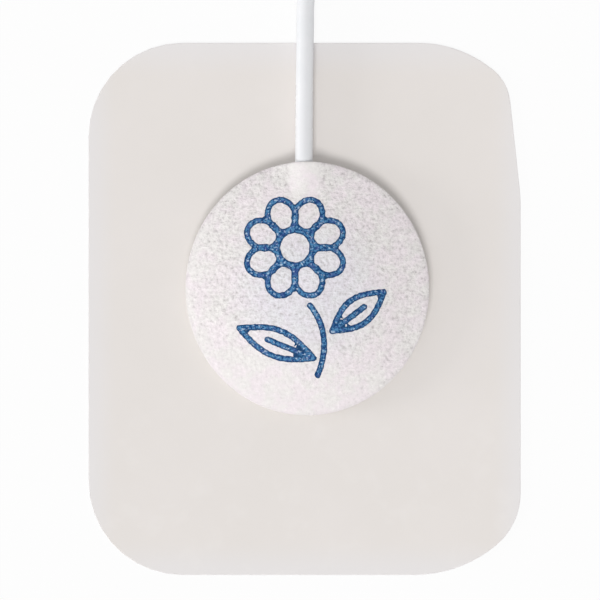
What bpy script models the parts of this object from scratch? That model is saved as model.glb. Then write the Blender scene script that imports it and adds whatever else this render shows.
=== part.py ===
# ECG electrode with its own lead, lying on its release liner.
# Metres, +Z up. The origin is the centre of the liner's underside. The lead leaves the pad along +Y.

import math

import bmesh
import bpy
from mathutils import Vector

MM = 0.001
WELD = 1e-7

# Release liner
LINER_WIDTH = 43.2 * MM
LINER_LENGTH = 53.2 * MM
LINER_THICKNESS = 0.25 * MM
LINER_CORNER_RADIUS = 9.4 * MM
LINER_TRIM = 1.25 * MM
LINER_TRIM_LENGTH = 15.4 * MM
LINER_TRIM_RADIUS = 20.0 * MM
LINER_TOP_CUT = (6.2 * MM, 3.85 * MM)
LINER_TOP_CUT_RADII = (11.8 * MM, 4.7 * MM)
LINER_BOTTOM_CUT = (5.95 * MM, 5.05 * MM)
LINER_BOTTOM_CUT_RADII = (12.8 * MM, 6.7 * MM)
LINER_CORNER_STEPS = 9

# Pad: foam, cover and gel share one oval plan
PAD_WIDTH = 24.3 * MM
PAD_LENGTH = 25.3 * MM
PAD_X = 0.28 * MM
PAD_Y = 2.05 * MM
GLUE_LINE = 0.02 * MM
FOAM_RIM_THICKNESS = 1.4 * MM
COVER_THICKNESS = 0.25 * MM
DOME_RISE = 1.8 * MM
DOME_POWER = 1.3
GEL_HOLE_WIDTH = 11.0 * MM
GEL_THICKNESS = 0.76 * MM
GEL_CROWN = 0.05 * MM
GEL_CLEARANCE = 0.2 * MM
PAD_TURN_STEPS = 56
PAD_CROWDING = 0.68
PAD_INNER_RINGS = 4
PAD_OUTER_RINGS = 9
PAD_PLAN_WELD = 1e-5

# Lead
LEAD_DIAMETER = 1.75 * MM
LEAD_CLEARANCE = 0.03 * MM
LEAD_END_CLEARANCE = 0.3 * MM
FOAM_UNDER_LEAD = 0.2 * MM
STRIP_INSET = 3.2 * MM
RIDGE_HALF_WIDTH = 3.4 * MM
RIDGE_FADE = 3.2 * MM
RIDGE_BLEND = 3
REST_GAP = 0.02 * MM
LEAD_POINT_SPACING = 2.0 * LEAD_DIAMETER
ROUTE_STEPS = 16
GROOVE_STEPS = 16

# Sensor
SENSOR_FLANGE_DIAMETER = 6.0 * MM
SENSOR_FLANGE_THICKNESS = 0.2 * MM
SENSOR_POST_DIAMETER = 2.2 * MM
SENSOR_CAP_DIAMETER = 3.8 * MM
SENSOR_CAP_HEIGHT = 1.5 * MM
SENSOR_CAP_ROOF = 0.15 * MM
SENSOR_CLEARANCE = 0.02 * MM
SENSOR_CHAMFER = 0.06 * MM

# Wire terminal and conductor
CONDUCTOR_DIAMETER = 0.72 * MM
CONDUCTOR_CLEARANCE = 0.03 * MM
STRAND_GROOVE = 0.14
STRAND_LOBES = 6
STRAND_LAY = 6.0 * MM
STRAND_STEPS = 8
CRIMP_WALL = 0.11 * MM
CRIMP_LENGTH = 2.2 * MM
CRIMP_BLIND = 0.4 * MM
CRIMP_INSET = 3.25 * MM
CRIMP_LIFT = 0.18 * MM
EYE_DIAMETER = 4.4 * MM
EYE_THICKNESS = 0.2 * MM
EYE_STEPS = 32
NECK_WIDTH = 1.0 * MM
NECK_THICKNESS = 0.18 * MM
NECK_OVERLAP = 0.25 * MM
BORE_STEPS = 24

# Printed flower: drawn round the pad's centre at one reach, and scaled to leave a margin at the rim
PRINT_MARGIN = 2.95 * MM
PRINT_DRAWN_REACH = 9.2 * MM
INK_WIDTH = 0.6 * MM
INK_THICKNESS = 0.03 * MM
INK_GAP = 0.02 * MM
FLOWER_CENTRE = (-1.23 * MM, 4.05 * MM)
FLOWER_CENTRE_RADIUS = 1.75 * MM
PETAL_COUNT = 8
PETAL_REACH = 3.45 * MM
PETAL_HALF_LENGTH = 1.62 * MM
PETAL_HALF_WIDTH = 1.36 * MM
STEM_POINTS = ((0.27 * MM, -1.7 * MM), (2.62 * MM, -4.65 * MM), (1.02 * MM, -8.65 * MM))
STEM_STEPS = 10
LEFT_LEAF = ((0.62 * MM, -6.95 * MM), (-6.78 * MM, -3.95 * MM))
RIGHT_LEAF = ((2.47 * MM, -4.25 * MM), (7.62 * MM, -0.35 * MM))
LEAF_HALF_WIDTH = 1.3 * MM
LEAF_TIP_STRETCH = 3.4
LEAF_RIB_SHARE = 0.62
INK_CURVE_STEPS = 22
INK_PRISM_HEIGHT = 6.0 * MM

# Coil of the lead's spare length, in two layers
COIL_X = -7.2 * MM
COIL_Y = 50.0 * MM
COIL_MEAN_RADIUS = 6.0 * LEAD_DIAMETER
COIL_BOTTOM_TURNS = 4
COIL_LAYER_RISE = math.sqrt(3) / 2 * LEAD_DIAMETER
COIL_ENTRY_ANGLE = math.radians(-38)
COIL_STEPS = 36
COIL_SECTION_STEPS = 14

# Tie round the coil
TIE_WIDTH = 3.0 * MM
TIE_THICKNESS = 0.2 * MM
TIE_CLEARANCE = 0.12 * MM
TIE_CORNER_RADIUS = 0.9 * MM
TIE_CORNER_STEPS = 6
TIE_TAIL_LENGTH = 5.5 * MM
TIE_TAIL_WIDTH = 1.3 * MM
TIE_TAIL_THICKNESS = 0.5 * MM
TIE_TAIL_TURNS = 2.5
TIE_TAIL_STEPS = 36
TIE_TAIL_OVERLAP = 0.15 * MM

# Connector, lying beside the coil with its mouth towards -Y
CONNECTOR_X = 15.7 * MM
CONNECTOR_FRONT_Y = 34.0 * MM
CONNECTOR_LENGTH = 24.0 * MM
NOSE_LENGTH = 9.5 * MM
NOSE_DIAMETER = 4.4 * MM
GRIP_DIAMETER = 6.2 * MM
GRIP_RIB_HEIGHT = 0.3 * MM
GRIP_RIB_COUNT = 5
GRIP_RIB_PITCH = 1.9 * MM
GRIP_RIB_WIDTH = 1.1 * MM
GRIP_REAR_DIAMETER = 4.9 * MM
GRIP_TAPER_LENGTH = 2.2 * MM
CONNECTOR_CHAMFER = 0.3 * MM
CONNECTOR_STEPS = 24

# Contact inside the connector
CONTACT_RECESS = 2.0 * MM
CONTACT_DIAMETER = 2.3 * MM
CONTACT_BORE = 1.5 * MM
CONTACT_BORE_DEPTH = 7.5 * MM
CONTACT_LENGTH = 13.0 * MM
CONTACT_CRIMP_DIAMETER = 1.6 * MM
CONTACT_CRIMP_LENGTH = 4.0 * MM
CONTACT_CRIMP_DEPTH = 3.4 * MM
CONTACT_CLEARANCE = 0.05 * MM
CONTACT_SLOT = 0.3 * MM
CONTACT_SLOT_LENGTH = 5.5 * MM
LEAD_SEAT_DEPTH = 7.4 * MM

# Strain relief behind the connector
RELIEF_LENGTH = 9.0 * MM
RELIEF_FRONT_DIAMETER = 4.6 * MM
RELIEF_REAR_DIAMETER = 2.9 * MM
RELIEF_GROOVE_COUNT = 4
RELIEF_GROOVE_PITCH = 1.7 * MM
RELIEF_GROOVE_WIDTH = 0.8 * MM
RELIEF_GROOVE_DEPTH = 0.3 * MM
RELIEF_START = 1.3 * MM
RELIEF_GAP = 0.05 * MM

# Heights that follow from the stack
PAD_BASE_Z = LINER_THICKNESS + GLUE_LINE
FOAM_RIM_Z = PAD_BASE_Z + FOAM_RIM_THICKNESS
COVER_RIM_Z = FOAM_RIM_Z + GLUE_LINE
GEL_TOP_Z = PAD_BASE_Z + GEL_THICKNESS
FLANGE_Z = GEL_TOP_Z + GEL_CROWN + GLUE_LINE
EYE_Z = FLANGE_Z + SENSOR_FLANGE_THICKNESS + SENSOR_CLEARANCE
CAP_Z = EYE_Z + EYE_THICKNESS + SENSOR_CLEARANCE
LEAD_RADIUS = LEAD_DIAMETER / 2
LEAD_PAD_Z = PAD_BASE_Z + FOAM_UNDER_LEAD + LEAD_CLEARANCE + LEAD_RADIUS
LEAD_LINER_Z = LINER_THICKNESS + REST_GAP + LEAD_RADIUS
LEAD_FLOOR_Z = REST_GAP + LEAD_RADIUS
RIDGE_RISE = LEAD_PAD_Z + LEAD_RADIUS + LEAD_CLEARANCE - COVER_RIM_Z
CONDUCTOR_RADIUS = CONDUCTOR_DIAMETER / 2
CRIMP_RADIUS = CONDUCTOR_RADIUS + CONDUCTOR_CLEARANCE + CRIMP_WALL
CRIMP_Z = LEAD_PAD_Z + CRIMP_LIFT

# Places and sizes in plan that follow from the pad
PRINT_SCALE = (min(PAD_WIDTH, PAD_LENGTH) / 2 - PRINT_MARGIN) / PRINT_DRAWN_REACH
GEL_HOLE_SHARE = GEL_HOLE_WIDTH / PAD_WIDTH
PAD_EXIT_Y = PAD_Y + PAD_LENGTH / 2
STRIP_Y = PAD_EXIT_Y - STRIP_INSET
CRIMP_START_Y = PAD_Y + CRIMP_INSET
CRIMP_END_Y = CRIMP_START_Y + CRIMP_LENGTH

# Coil's layers, and the connector's heights
COIL_BOTTOM_Z = REST_GAP + TIE_THICKNESS + TIE_CLEARANCE + LEAD_RADIUS
COIL_TOP_Z = COIL_BOTTOM_Z + COIL_LAYER_RISE
COIL_OUTER_TURN = COIL_MEAN_RADIUS + (COIL_BOTTOM_TURNS - 1) / 2 * LEAD_DIAMETER
COIL_INNER_TURN = COIL_MEAN_RADIUS - (COIL_BOTTOM_TURNS - 1) / 2 * LEAD_DIAMETER
COIL_OUTSIDE = COIL_OUTER_TURN + LEAD_RADIUS
COIL_CLEAR_RADIUS = COIL_OUTSIDE + LEAD_RADIUS + LEAD_END_CLEARANCE
CONNECTOR_Z = GRIP_DIAMETER / 2 + GRIP_RIB_HEIGHT + REST_GAP
CONNECTOR_REAR_Y = CONNECTOR_FRONT_Y + CONNECTOR_LENGTH
RELIEF_REAR_Y = CONNECTOR_REAR_Y + RELIEF_GAP + RELIEF_LENGTH
LEAD_SEAT_Y = CONNECTOR_REAR_Y - LEAD_SEAT_DEPTH

# Where the lead meets the coil's outer face, and where it leaves it
COIL_ENTRY_X = COIL_X + COIL_CLEAR_RADIUS * math.cos(COIL_ENTRY_ANGLE)
COIL_ENTRY_Y = COIL_Y + COIL_CLEAR_RADIUS * math.sin(COIL_ENTRY_ANGLE)
COIL_EXIT_X = COIL_X + COIL_OUTER_TURN - LEAD_RADIUS
COIL_EXIT_Y = COIL_Y + math.sqrt(COIL_CLEAR_RADIUS**2 - (COIL_OUTER_TURN - LEAD_RADIUS) ** 2)

# The lead's route from the pad to the coil, and from the coil to the connector
LEAD_ROUTE = (
    (-0.05 * MM, STRIP_Y, LEAD_PAD_Z),
    (-0.05 * MM, PAD_EXIT_Y, LEAD_PAD_Z),
    (-0.05 * MM, PAD_EXIT_Y + 1.6 * MM, LEAD_PAD_Z - 0.05 * MM),
    (-0.03 * MM, PAD_EXIT_Y + 4.8 * MM, LEAD_LINER_Z),
    (0.0 * MM, 23.5 * MM, LEAD_LINER_Z),
    (0.07 * MM, 27.6 * MM, LEAD_LINER_Z),
    (0.2 * MM, 31.4 * MM, LEAD_FLOOR_Z + 0.06 * MM),
    (1.1 * MM, 35.2 * MM, LEAD_FLOOR_Z),
    (3.3 * MM, 38.3 * MM, LEAD_FLOOR_Z),
    (COIL_ENTRY_X, COIL_ENTRY_Y, LEAD_FLOOR_Z),
)
TAIL_ROUTE = (
    (COIL_EXIT_X, COIL_EXIT_Y, LEAD_FLOOR_Z + 0.75 * MM),
    (COIL_EXIT_X + 0.1 * MM, COIL_EXIT_Y + 3.8 * MM, LEAD_FLOOR_Z + 0.08 * MM),
    (5.4 * MM, 66.4 * MM, LEAD_FLOOR_Z),
    (6.6 * MM, 70.4 * MM, LEAD_FLOOR_Z),
    (9.6 * MM, 73.6 * MM, LEAD_FLOOR_Z + 0.3 * MM),
    (13.2 * MM, 73.4 * MM, LEAD_FLOOR_Z + 1.2 * MM),
    (CONNECTOR_X - 0.3 * MM, 70.5 * MM, CONNECTOR_Z - 0.35 * MM),
    (CONNECTOR_X, RELIEF_REAR_Y, CONNECTOR_Z),
    (CONNECTOR_X, CONNECTOR_REAR_Y, CONNECTOR_Z),
    (CONNECTOR_X, LEAD_SEAT_Y, CONNECTOR_Z),
)

for old in list(bpy.data.objects):
    bpy.data.objects.remove(old, do_unlink=True)

parts = bpy.data.collections.new("ecg_electrode")
cutters = bpy.data.collections.new("cutters")
bpy.context.scene.collection.children.link(parts)
bpy.context.scene.collection.children.link(cutters)
origin = bpy.data.objects.new("electrode_origin", None)
parts.objects.link(origin)


def material(name, colour, roughness, metallic=0.0):
    made = bpy.data.materials.new(name)
    made.use_nodes = True
    shader = made.node_tree.nodes["Principled BSDF"]
    shader.inputs["Base Color"].default_value = (*colour, 1.0)
    shader.inputs["Roughness"].default_value = roughness
    shader.inputs["Metallic"].default_value = metallic
    made.diffuse_color = (*colour, 1.0)
    return made


def add_part(name, data, finish):
    """A visible piece: one node of the electrode."""
    data.materials.clear()
    data.materials.append(finish)
    piece = bpy.data.objects.new(name, data)
    parts.objects.link(piece)
    piece.parent = origin
    return piece


def add_cutter(name, data):
    """A helper that shapes a piece and isn't one."""
    cutter = bpy.data.objects.new(name, data)
    cutters.objects.link(cutter)
    cutter.hide_render = True
    cutter.display_type = "WIRE"
    return cutter


def mesh_from(bm, name):
    data = bpy.data.meshes.new(name)
    bm.to_mesh(data)
    bm.free()
    return data


def shade_round(data, angle=math.radians(35)):
    data.shade_smooth()
    data.set_sharp_from_angle(angle=angle)


def evaluated_mesh(piece):
    """The piece's shape with its modifiers applied, and a curve's caps welded on."""
    bpy.context.view_layer.update()
    graph = bpy.context.evaluated_depsgraph_get()
    data = bpy.data.meshes.new_from_object(piece.evaluated_get(graph), depsgraph=graph)
    bm = bmesh.new()
    bm.from_mesh(data)
    bmesh.ops.remove_doubles(bm, verts=bm.verts, dist=WELD)
    bm.to_mesh(data)
    bm.free()
    return data


def boolean(piece, cutter, operation):
    step = piece.modifiers.new(f"{operation.lower()} {cutter.name}", "BOOLEAN")
    step.operation = operation
    step.object = cutter
    step.solver = "EXACT"


def flat_curve(name, outlines, half_height):
    """A flat shape between its closed outlines, as a filled 2D curve with a thickness."""
    curve = bpy.data.curves.new(name, "CURVE")
    curve.dimensions = "2D"
    curve.fill_mode = "BOTH"
    curve.extrude = half_height
    for outline in outlines:
        spline = curve.splines.new("POLY")
        spline.points.add(len(outline) - 1)
        for point, (x, y) in zip(spline.points, outline):
            point.co = (x, y, 0.0, 1.0)
        spline.use_cyclic_u = True
    return curve


def rounded_outline(corners, steps):
    """The outline through (x, y, radius) corners, each rounded by an arc that touches both sides."""
    points = []
    for index, (x, y, radius) in enumerate(corners):
        here = Vector((x, y))
        before = (Vector(corners[index - 1][:2]) - here).normalized()
        after = (Vector(corners[(index + 1) % len(corners)][:2]) - here).normalized()
        half = before.angle(after) / 2
        centre = here + (before + after).normalized() * radius / math.sin(half)
        start = here + before * radius / math.tan(half) - centre
        sweep = start.angle_signed(here + after * radius / math.tan(half) - centre)
        for step in range(steps + 1):
            turn = -sweep * step / steps
            points.append(
                (
                    centre.x + start.x * math.cos(turn) - start.y * math.sin(turn),
                    centre.y + start.x * math.sin(turn) + start.y * math.cos(turn),
                )
            )
    return points


def prism(name, outline, start, end):
    """A straight bar: an (x, z) outline drawn out along Y from start to end."""
    bm = bmesh.new()
    face = bm.faces.new([bm.verts.new((across, start, up)) for across, up in outline])
    drawn = bmesh.ops.extrude_face_region(bm, geom=[face])
    far = [item for item in drawn["geom"] if isinstance(item, bmesh.types.BMVert)]
    bmesh.ops.translate(bm, verts=far, vec=(0, end - start, 0))
    bmesh.ops.recalc_face_normals(bm, faces=bm.faces)
    return mesh_from(bm, name)


def turned(name, profile, finish, steps=CONNECTOR_STEPS):
    """A turned piece: its (radius, height) profile spun about its own Z axis."""
    bm = bmesh.new()
    points = [bm.verts.new((radius, 0, height)) for radius, height in profile]
    for first, second in zip(points, points[1:]):
        bm.edges.new((first, second))
    if profile[0][0] > 0:
        bm.edges.new((points[-1], points[0]))
    piece = add_part(name, mesh_from(bm, name), finish)
    spin = piece.modifiers.new("spin", "SCREW")
    spin.steps = steps
    spin.render_steps = steps
    spin.use_merge_vertices = True
    spin.merge_threshold = WELD
    piece.data = evaluated_mesh(piece)
    piece.modifiers.remove(spin)
    shade_round(piece.data)
    return piece


def cylinder(name, radius, along, centre, length, segments=BORE_STEPS):
    """A cutter or a blank: a plain cylinder on the X, Y or Z axis."""
    bm = bmesh.new()
    bmesh.ops.create_cone(
        bm, cap_ends=True, segments=segments, radius1=radius, radius2=radius, depth=length
    )
    data = mesh_from(bm, name)
    piece = add_cutter(name, data)
    piece.rotation_euler = {"X": (0, math.pi / 2, 0), "Y": (math.pi / 2, 0, 0), "Z": (0, 0, 0)}[along]
    piece.location = centre
    return piece


def block(name, size, centre):
    """A cutter or a blank: a plain box."""
    bm = bmesh.new()
    bmesh.ops.create_cube(bm, size=1.0)
    bmesh.ops.scale(bm, verts=bm.verts, vec=size)
    piece = add_cutter(name, mesh_from(bm, name))
    piece.location = centre
    return piece


def smooth_path(route, spacing):
    """Points about a spacing apart on a smooth curve through the route's points."""
    knots = [Vector(point) for point in route]
    ends = [2 * knots[0] - knots[1], *knots, 2 * knots[-1] - knots[-2]]
    fine = []
    for p0, p1, p2, p3 in zip(ends, ends[1:], ends[2:], ends[3:]):
        for step in range(ROUTE_STEPS):
            t = step / ROUTE_STEPS
            fine.append(
                0.5
                * (
                    2 * p1
                    + (p2 - p0) * t
                    + (2 * p0 - 5 * p1 + 4 * p2 - p3) * t**2
                    + (3 * p1 - p0 - 3 * p2 + p3) * t**3
                )
            )
    fine.append(knots[-1])
    lengths = [0.0]
    for first, second in zip(fine, fine[1:]):
        lengths.append(lengths[-1] + (second - first).length)
    count = max(2, round(lengths[-1] / spacing))
    points = []
    at = 0
    for number in range(count + 1):
        wanted = lengths[-1] * number / count
        while at < len(fine) - 2 and lengths[at + 1] < wanted:
            at += 1
        share = (wanted - lengths[at]) / (lengths[at + 1] - lengths[at])
        points.append(fine[at].lerp(fine[at + 1], share))
    return points


def wire_curve(name, points):
    curve = bpy.data.curves.new(name, "CURVE")
    curve.dimensions = "3D"
    curve.use_fill_caps = True
    spline = curve.splines.new("POLY")
    spline.points.add(len(points) - 1)
    for point, place in zip(spline.points, points):
        point.co = (*place, 1.0)
    return curve


def lead_tube(name, route, finish):
    """A stretch of the lead's insulation."""
    curve = wire_curve(name, smooth_path(route, LEAD_POINT_SPACING))
    curve.bevel_depth = LEAD_RADIUS
    curve.bevel_resolution = 2
    return add_part(name, curve, finish)


def strand_outline():
    """The lobed section of the twisted strands."""
    steps = 4 * STRAND_LOBES
    outline = []
    for step in range(steps):
        turn = -2 * math.pi * step / steps
        groove = STRAND_GROOVE * (1 - abs(math.cos(STRAND_LOBES / 2 * turn)))
        radius = CONDUCTOR_RADIUS * (1 - groove)
        outline.append((radius * math.cos(turn), radius * math.sin(turn)))
    return outline


def stranded_end(name, start, end, finish):
    """A stripped end of the conductor: twisted strands, drawn out from start to end."""
    section = flat_curve(f"{name} section", [strand_outline()], 0)
    section.fill_mode = "NONE"
    helper = add_cutter(f"{name}_section", section)
    first = Vector(start)
    whole = Vector(end) - first
    shares = stations(0, 1, STRAND_STEPS)
    curve = wire_curve(name, [first + whole * share for share in shares])
    for share, point in zip(shares, curve.splines[0].points):
        point.tilt = 2 * math.pi * whole.length * share / STRAND_LAY
    curve.bevel_mode = "OBJECT"
    curve.bevel_object = helper
    return add_part(name, curve, finish)


def pad_share(x, y):
    """0 at the pad's centre, 1 at its rim."""
    return math.hypot((x - PAD_X) / (PAD_WIDTH / 2), (y - PAD_Y) / (PAD_LENGTH / 2))


def cover_under(x, y):
    """The height of the cover's underside: a low dome that runs into the ridge over the lead."""
    dome = DOME_RISE * max(0.0, 1 - pad_share(x, y) ** 2) ** DOME_POWER
    across = min(1.0, abs(x - LEAD_ROUTE[0][0]) / RIDGE_HALF_WIDTH)
    along = min(1.0, max(0.0, (y - STRIP_Y) / RIDGE_FADE + 1))
    ridge = RIDGE_RISE * math.cos(across * math.pi / 2) ** 2 * along**2 * (3 - 2 * along)
    return COVER_RIM_Z + (dome**RIDGE_BLEND + ridge**RIDGE_BLEND) ** (1 / RIDGE_BLEND)


def cover_top(x, y):
    return cover_under(x, y) + COVER_THICKNESS


def pad_mesh(name, shares, lower, upper):
    """A solid on the pad's oval plan between two heights, with its points crowded towards the lead."""
    bm = bmesh.new()
    line = [bm.verts.new((share, 0, 0)) for share in shares]
    edges = [bm.edges.new(pair) for pair in zip(line, line[1:])]
    bmesh.ops.spin(
        bm,
        geom=[*line, *edges],
        cent=(0, 0, 0),
        axis=(0, 0, 1),
        angle=2 * math.pi,
        steps=PAD_TURN_STEPS,
        use_merge=True,
    )
    bmesh.ops.remove_doubles(bm, verts=bm.verts, dist=PAD_PLAN_WELD)
    for vert in bm.verts:
        share = math.hypot(vert.co.x, vert.co.y)
        turn = math.atan2(vert.co.x, vert.co.y)
        turn -= PAD_CROWDING * math.sin(turn)
        vert.co.x = PAD_X + share * math.sin(turn) * PAD_WIDTH / 2
        vert.co.y = PAD_Y + share * math.cos(turn) * PAD_LENGTH / 2
    bmesh.ops.triangulate(bm, faces=bm.faces, quad_method="FIXED")
    raised = bmesh.ops.extrude_face_region(bm, geom=bm.faces[:])
    tops = {item for item in raised["geom"] if isinstance(item, bmesh.types.BMVert)}
    for vert in bm.verts:
        height = upper if vert in tops else lower
        vert.co.z = height(vert.co.x, vert.co.y)
    bmesh.ops.recalc_face_normals(bm, faces=bm.faces)
    return mesh_from(bm, name)


def pad_solid(name, shares, lower, upper, finish):
    piece = add_part(name, pad_mesh(name, shares, lower, upper), finish)
    shade_round(piece.data)
    return piece


def stations(start, end, count):
    return [start + (end - start) * step / count for step in range(count + 1)]


def oval(centre, half_length, half_width, angle):
    """Points round an oval whose long way lies at the angle."""
    points = []
    for step in range(INK_CURVE_STEPS):
        turn = 2 * math.pi * step / INK_CURVE_STEPS
        u = half_length * math.cos(turn)
        v = half_width * math.sin(turn)
        points.append(
            (
                centre[0] + u * math.cos(angle) - v * math.sin(angle),
                centre[1] + u * math.sin(angle) + v * math.cos(angle),
            )
        )
    return points


def oval_stroke(centre, half_length, half_width, angle):
    """A closed oval line, one ink width wide."""
    half_ink = INK_WIDTH / 2
    return [
        oval(centre, half_length + half_ink, half_width + half_ink, angle),
        oval(centre, half_length - half_ink, half_width - half_ink, angle),
    ]


def leaf(base, tip, half_width, grow):
    """Points round a pointed leaf from base to tip, grown on all sides."""
    start = Vector(base)
    along = Vector(tip) - start
    side = Vector((-along.y, along.x)).normalized()
    steps = INK_CURVE_STEPS // 2
    points = []
    for step in range(2 * steps):
        share = step / steps if step <= steps else 2 - step / steps
        swing = 1 if step <= steps else -1
        reach = 0.5 + (share - 0.5) * (1 + LEAF_TIP_STRETCH * grow / along.length)
        width = swing * (half_width + grow) * math.sin(math.pi * share)
        points.append(tuple(start + along * reach + side * width))
    return points


def line_stroke(points):
    """An open line with round ends, one ink width wide."""
    half_ink = INK_WIDTH / 2
    places = [Vector(point) for point in points]
    left = []
    right = []
    for index, place in enumerate(places):
        ahead = places[min(index + 1, len(places) - 1)]
        behind = places[max(index - 1, 0)]
        along = (ahead - behind).normalized()
        side = Vector((-along.y, along.x)) * half_ink
        left.append(place + side)
        right.append(place - side)
    start_way = (places[0] - places[1]).normalized() * half_ink
    end_way = (places[-1] - places[-2]).normalized() * half_ink
    start_cap = [places[0] + start_way]
    end_cap = [places[-1] + end_way]
    return [[tuple(point) for point in [*left, *end_cap, *reversed(right), *start_cap]]]


def bent_line(start, bend, end, steps):
    """Points on the curve from start to end that a bend point pulls aside."""
    first, pull, last = Vector(start), Vector(bend), Vector(end)
    return [
        tuple(first.lerp(pull, step / steps).lerp(pull.lerp(last, step / steps), step / steps))
        for step in range(steps + 1)
    ]


def printed(name, strokes, ink_layer, finish):
    """Ink on the cover: strokes drawn flat and joined, and kept where they pass through the ink layer."""
    blanks = []
    for number, outlines in enumerate(strokes):
        label = f"{name}_stroke_{number}"
        drawn = add_cutter(label, flat_curve(label, outlines, INK_PRISM_HEIGHT / 2))
        solid = add_cutter(f"{label}_solid", evaluated_mesh(drawn))
        bpy.data.objects.remove(drawn)
        blanks.append(solid)
    piece = add_part(name, blanks[0].data, finish)
    bpy.data.objects.remove(blanks[0])
    piece.location.z = COVER_RIM_Z + INK_PRISM_HEIGHT / 2
    for other in blanks[1:]:
        other.location.z = piece.location.z
        boolean(piece, other, "UNION")
    boolean(piece, ink_layer, "INTERSECT")
    return piece


def hull_outline(circles, radius, steps):
    """The outline of a band drawn tight round equal circles, clockwise from the top."""
    outline = []
    for step in range(steps):
        turn = math.pi / 2 - 2 * math.pi * (step + 0.5) / steps
        way = Vector((math.cos(turn), math.sin(turn)))
        centre = max(circles, key=lambda circle: Vector(circle).dot(way))
        outline.append(tuple(Vector(centre) + way * radius))
    return outline


coated_film = material("silicone coated film", (0.79, 0.76, 0.73), 0.45)
white_foam = material("white foam", (0.86, 0.86, 0.84), 0.9)
nonwoven = material("white nonwoven", (0.85, 0.83, 0.83), 0.85)
blue_ink = material("blue ink", (0.03, 0.12, 0.36), 0.7)
hydrogel = material("hydrogel", (0.72, 0.78, 0.8), 0.15)
silver_chloride = material("silver chloride", (0.55, 0.54, 0.52), 0.4, 0.8)
tinned_metal = material("tinned metal", (0.7, 0.7, 0.68), 0.3, 1.0)
tinsel_copper = material("tinned copper strands", (0.72, 0.6, 0.5), 0.35, 1.0)
white_pvc = material("white lead insulation", (0.86, 0.87, 0.88), 0.3)
white_moulding = material("white moulding", (0.82, 0.83, 0.84), 0.4)
tie_paper = material("tie covering", (0.8, 0.8, 0.78), 0.6)
gold_plate = material("gold plating", (0.83, 0.66, 0.32), 0.25, 1.0)


def make_liner():
    """The liner: a sheet with round corners, cut by hand on its right side, which draws in at the top."""
    right = LINER_WIDTH / 2
    top = LINER_LENGTH / 2
    top_in, top_down = LINER_TOP_CUT
    bottom_in, bottom_up = LINER_BOTTOM_CUT
    corners = (
        (-right, top, LINER_CORNER_RADIUS),
        (right - top_in, top, LINER_TOP_CUT_RADII[0]),
        (right - LINER_TRIM, top - top_down, LINER_TOP_CUT_RADII[1]),
        (right, top - LINER_TRIM_LENGTH, LINER_TRIM_RADIUS),
        (right, bottom_up - top, LINER_BOTTOM_CUT_RADII[1]),
        (right - bottom_in, -top, LINER_BOTTOM_CUT_RADII[0]),
        (-right, -top, LINER_CORNER_RADIUS),
    )
    outline = rounded_outline(corners, LINER_CORNER_STEPS)
    curve = flat_curve("release_liner", [outline], LINER_THICKNESS / 2)
    liner = add_part("release_liner", curve, coated_film)
    liner.location.z = LINER_THICKNESS / 2


def make_pad():
    """Foam ring with the gel's hole and the lead's groove, the gel in it, and the cover over both."""
    inner = stations(0, GEL_HOLE_SHARE, PAD_INNER_RINGS)
    outer = stations(GEL_HOLE_SHARE, 1, PAD_OUTER_RINGS)
    gel_share = GEL_HOLE_SHARE - 2 * GEL_CLEARANCE / PAD_WIDTH
    foam = pad_solid(
        "foam_base",
        outer,
        lambda x, y: PAD_BASE_Z,
        lambda x, y: cover_under(x, y) - GLUE_LINE,
        white_foam,
    )
    groove_radius = LEAD_RADIUS + LEAD_CLEARANCE
    above = COVER_RIM_Z + DOME_RISE + LEAD_DIAMETER
    lead_x = LEAD_ROUTE[0][0]
    section = [(lead_x + groove_radius, above), (lead_x - groove_radius, above)]
    for turn in stations(math.pi, 2 * math.pi, GROOVE_STEPS):
        section.append(
            (lead_x + groove_radius * math.cos(turn), LEAD_PAD_Z + groove_radius * math.sin(turn))
        )
    groove = prism("lead_groove", section, PAD_Y, PAD_EXIT_Y + LEAD_DIAMETER)
    boolean(foam, add_cutter("lead_groove", groove), "DIFFERENCE")
    pad_solid(
        "gel_pad",
        stations(0, gel_share, PAD_INNER_RINGS),
        lambda x, y: PAD_BASE_Z,
        lambda x, y: GEL_TOP_Z + GEL_CROWN * (1 - (pad_share(x, y) / gel_share) ** 2),
        hydrogel,
    )
    whole = [*inner, *outer[1:]]
    pad_solid("cover_disc", whole, cover_under, cover_top, nonwoven)
    ink_layer = pad_mesh(
        "ink_layer",
        whole,
        lambda x, y: cover_top(x, y) + INK_GAP,
        lambda x, y: cover_top(x, y) + INK_GAP + INK_THICKNESS,
    )
    make_print(add_cutter("ink_layer", ink_layer))


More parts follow.
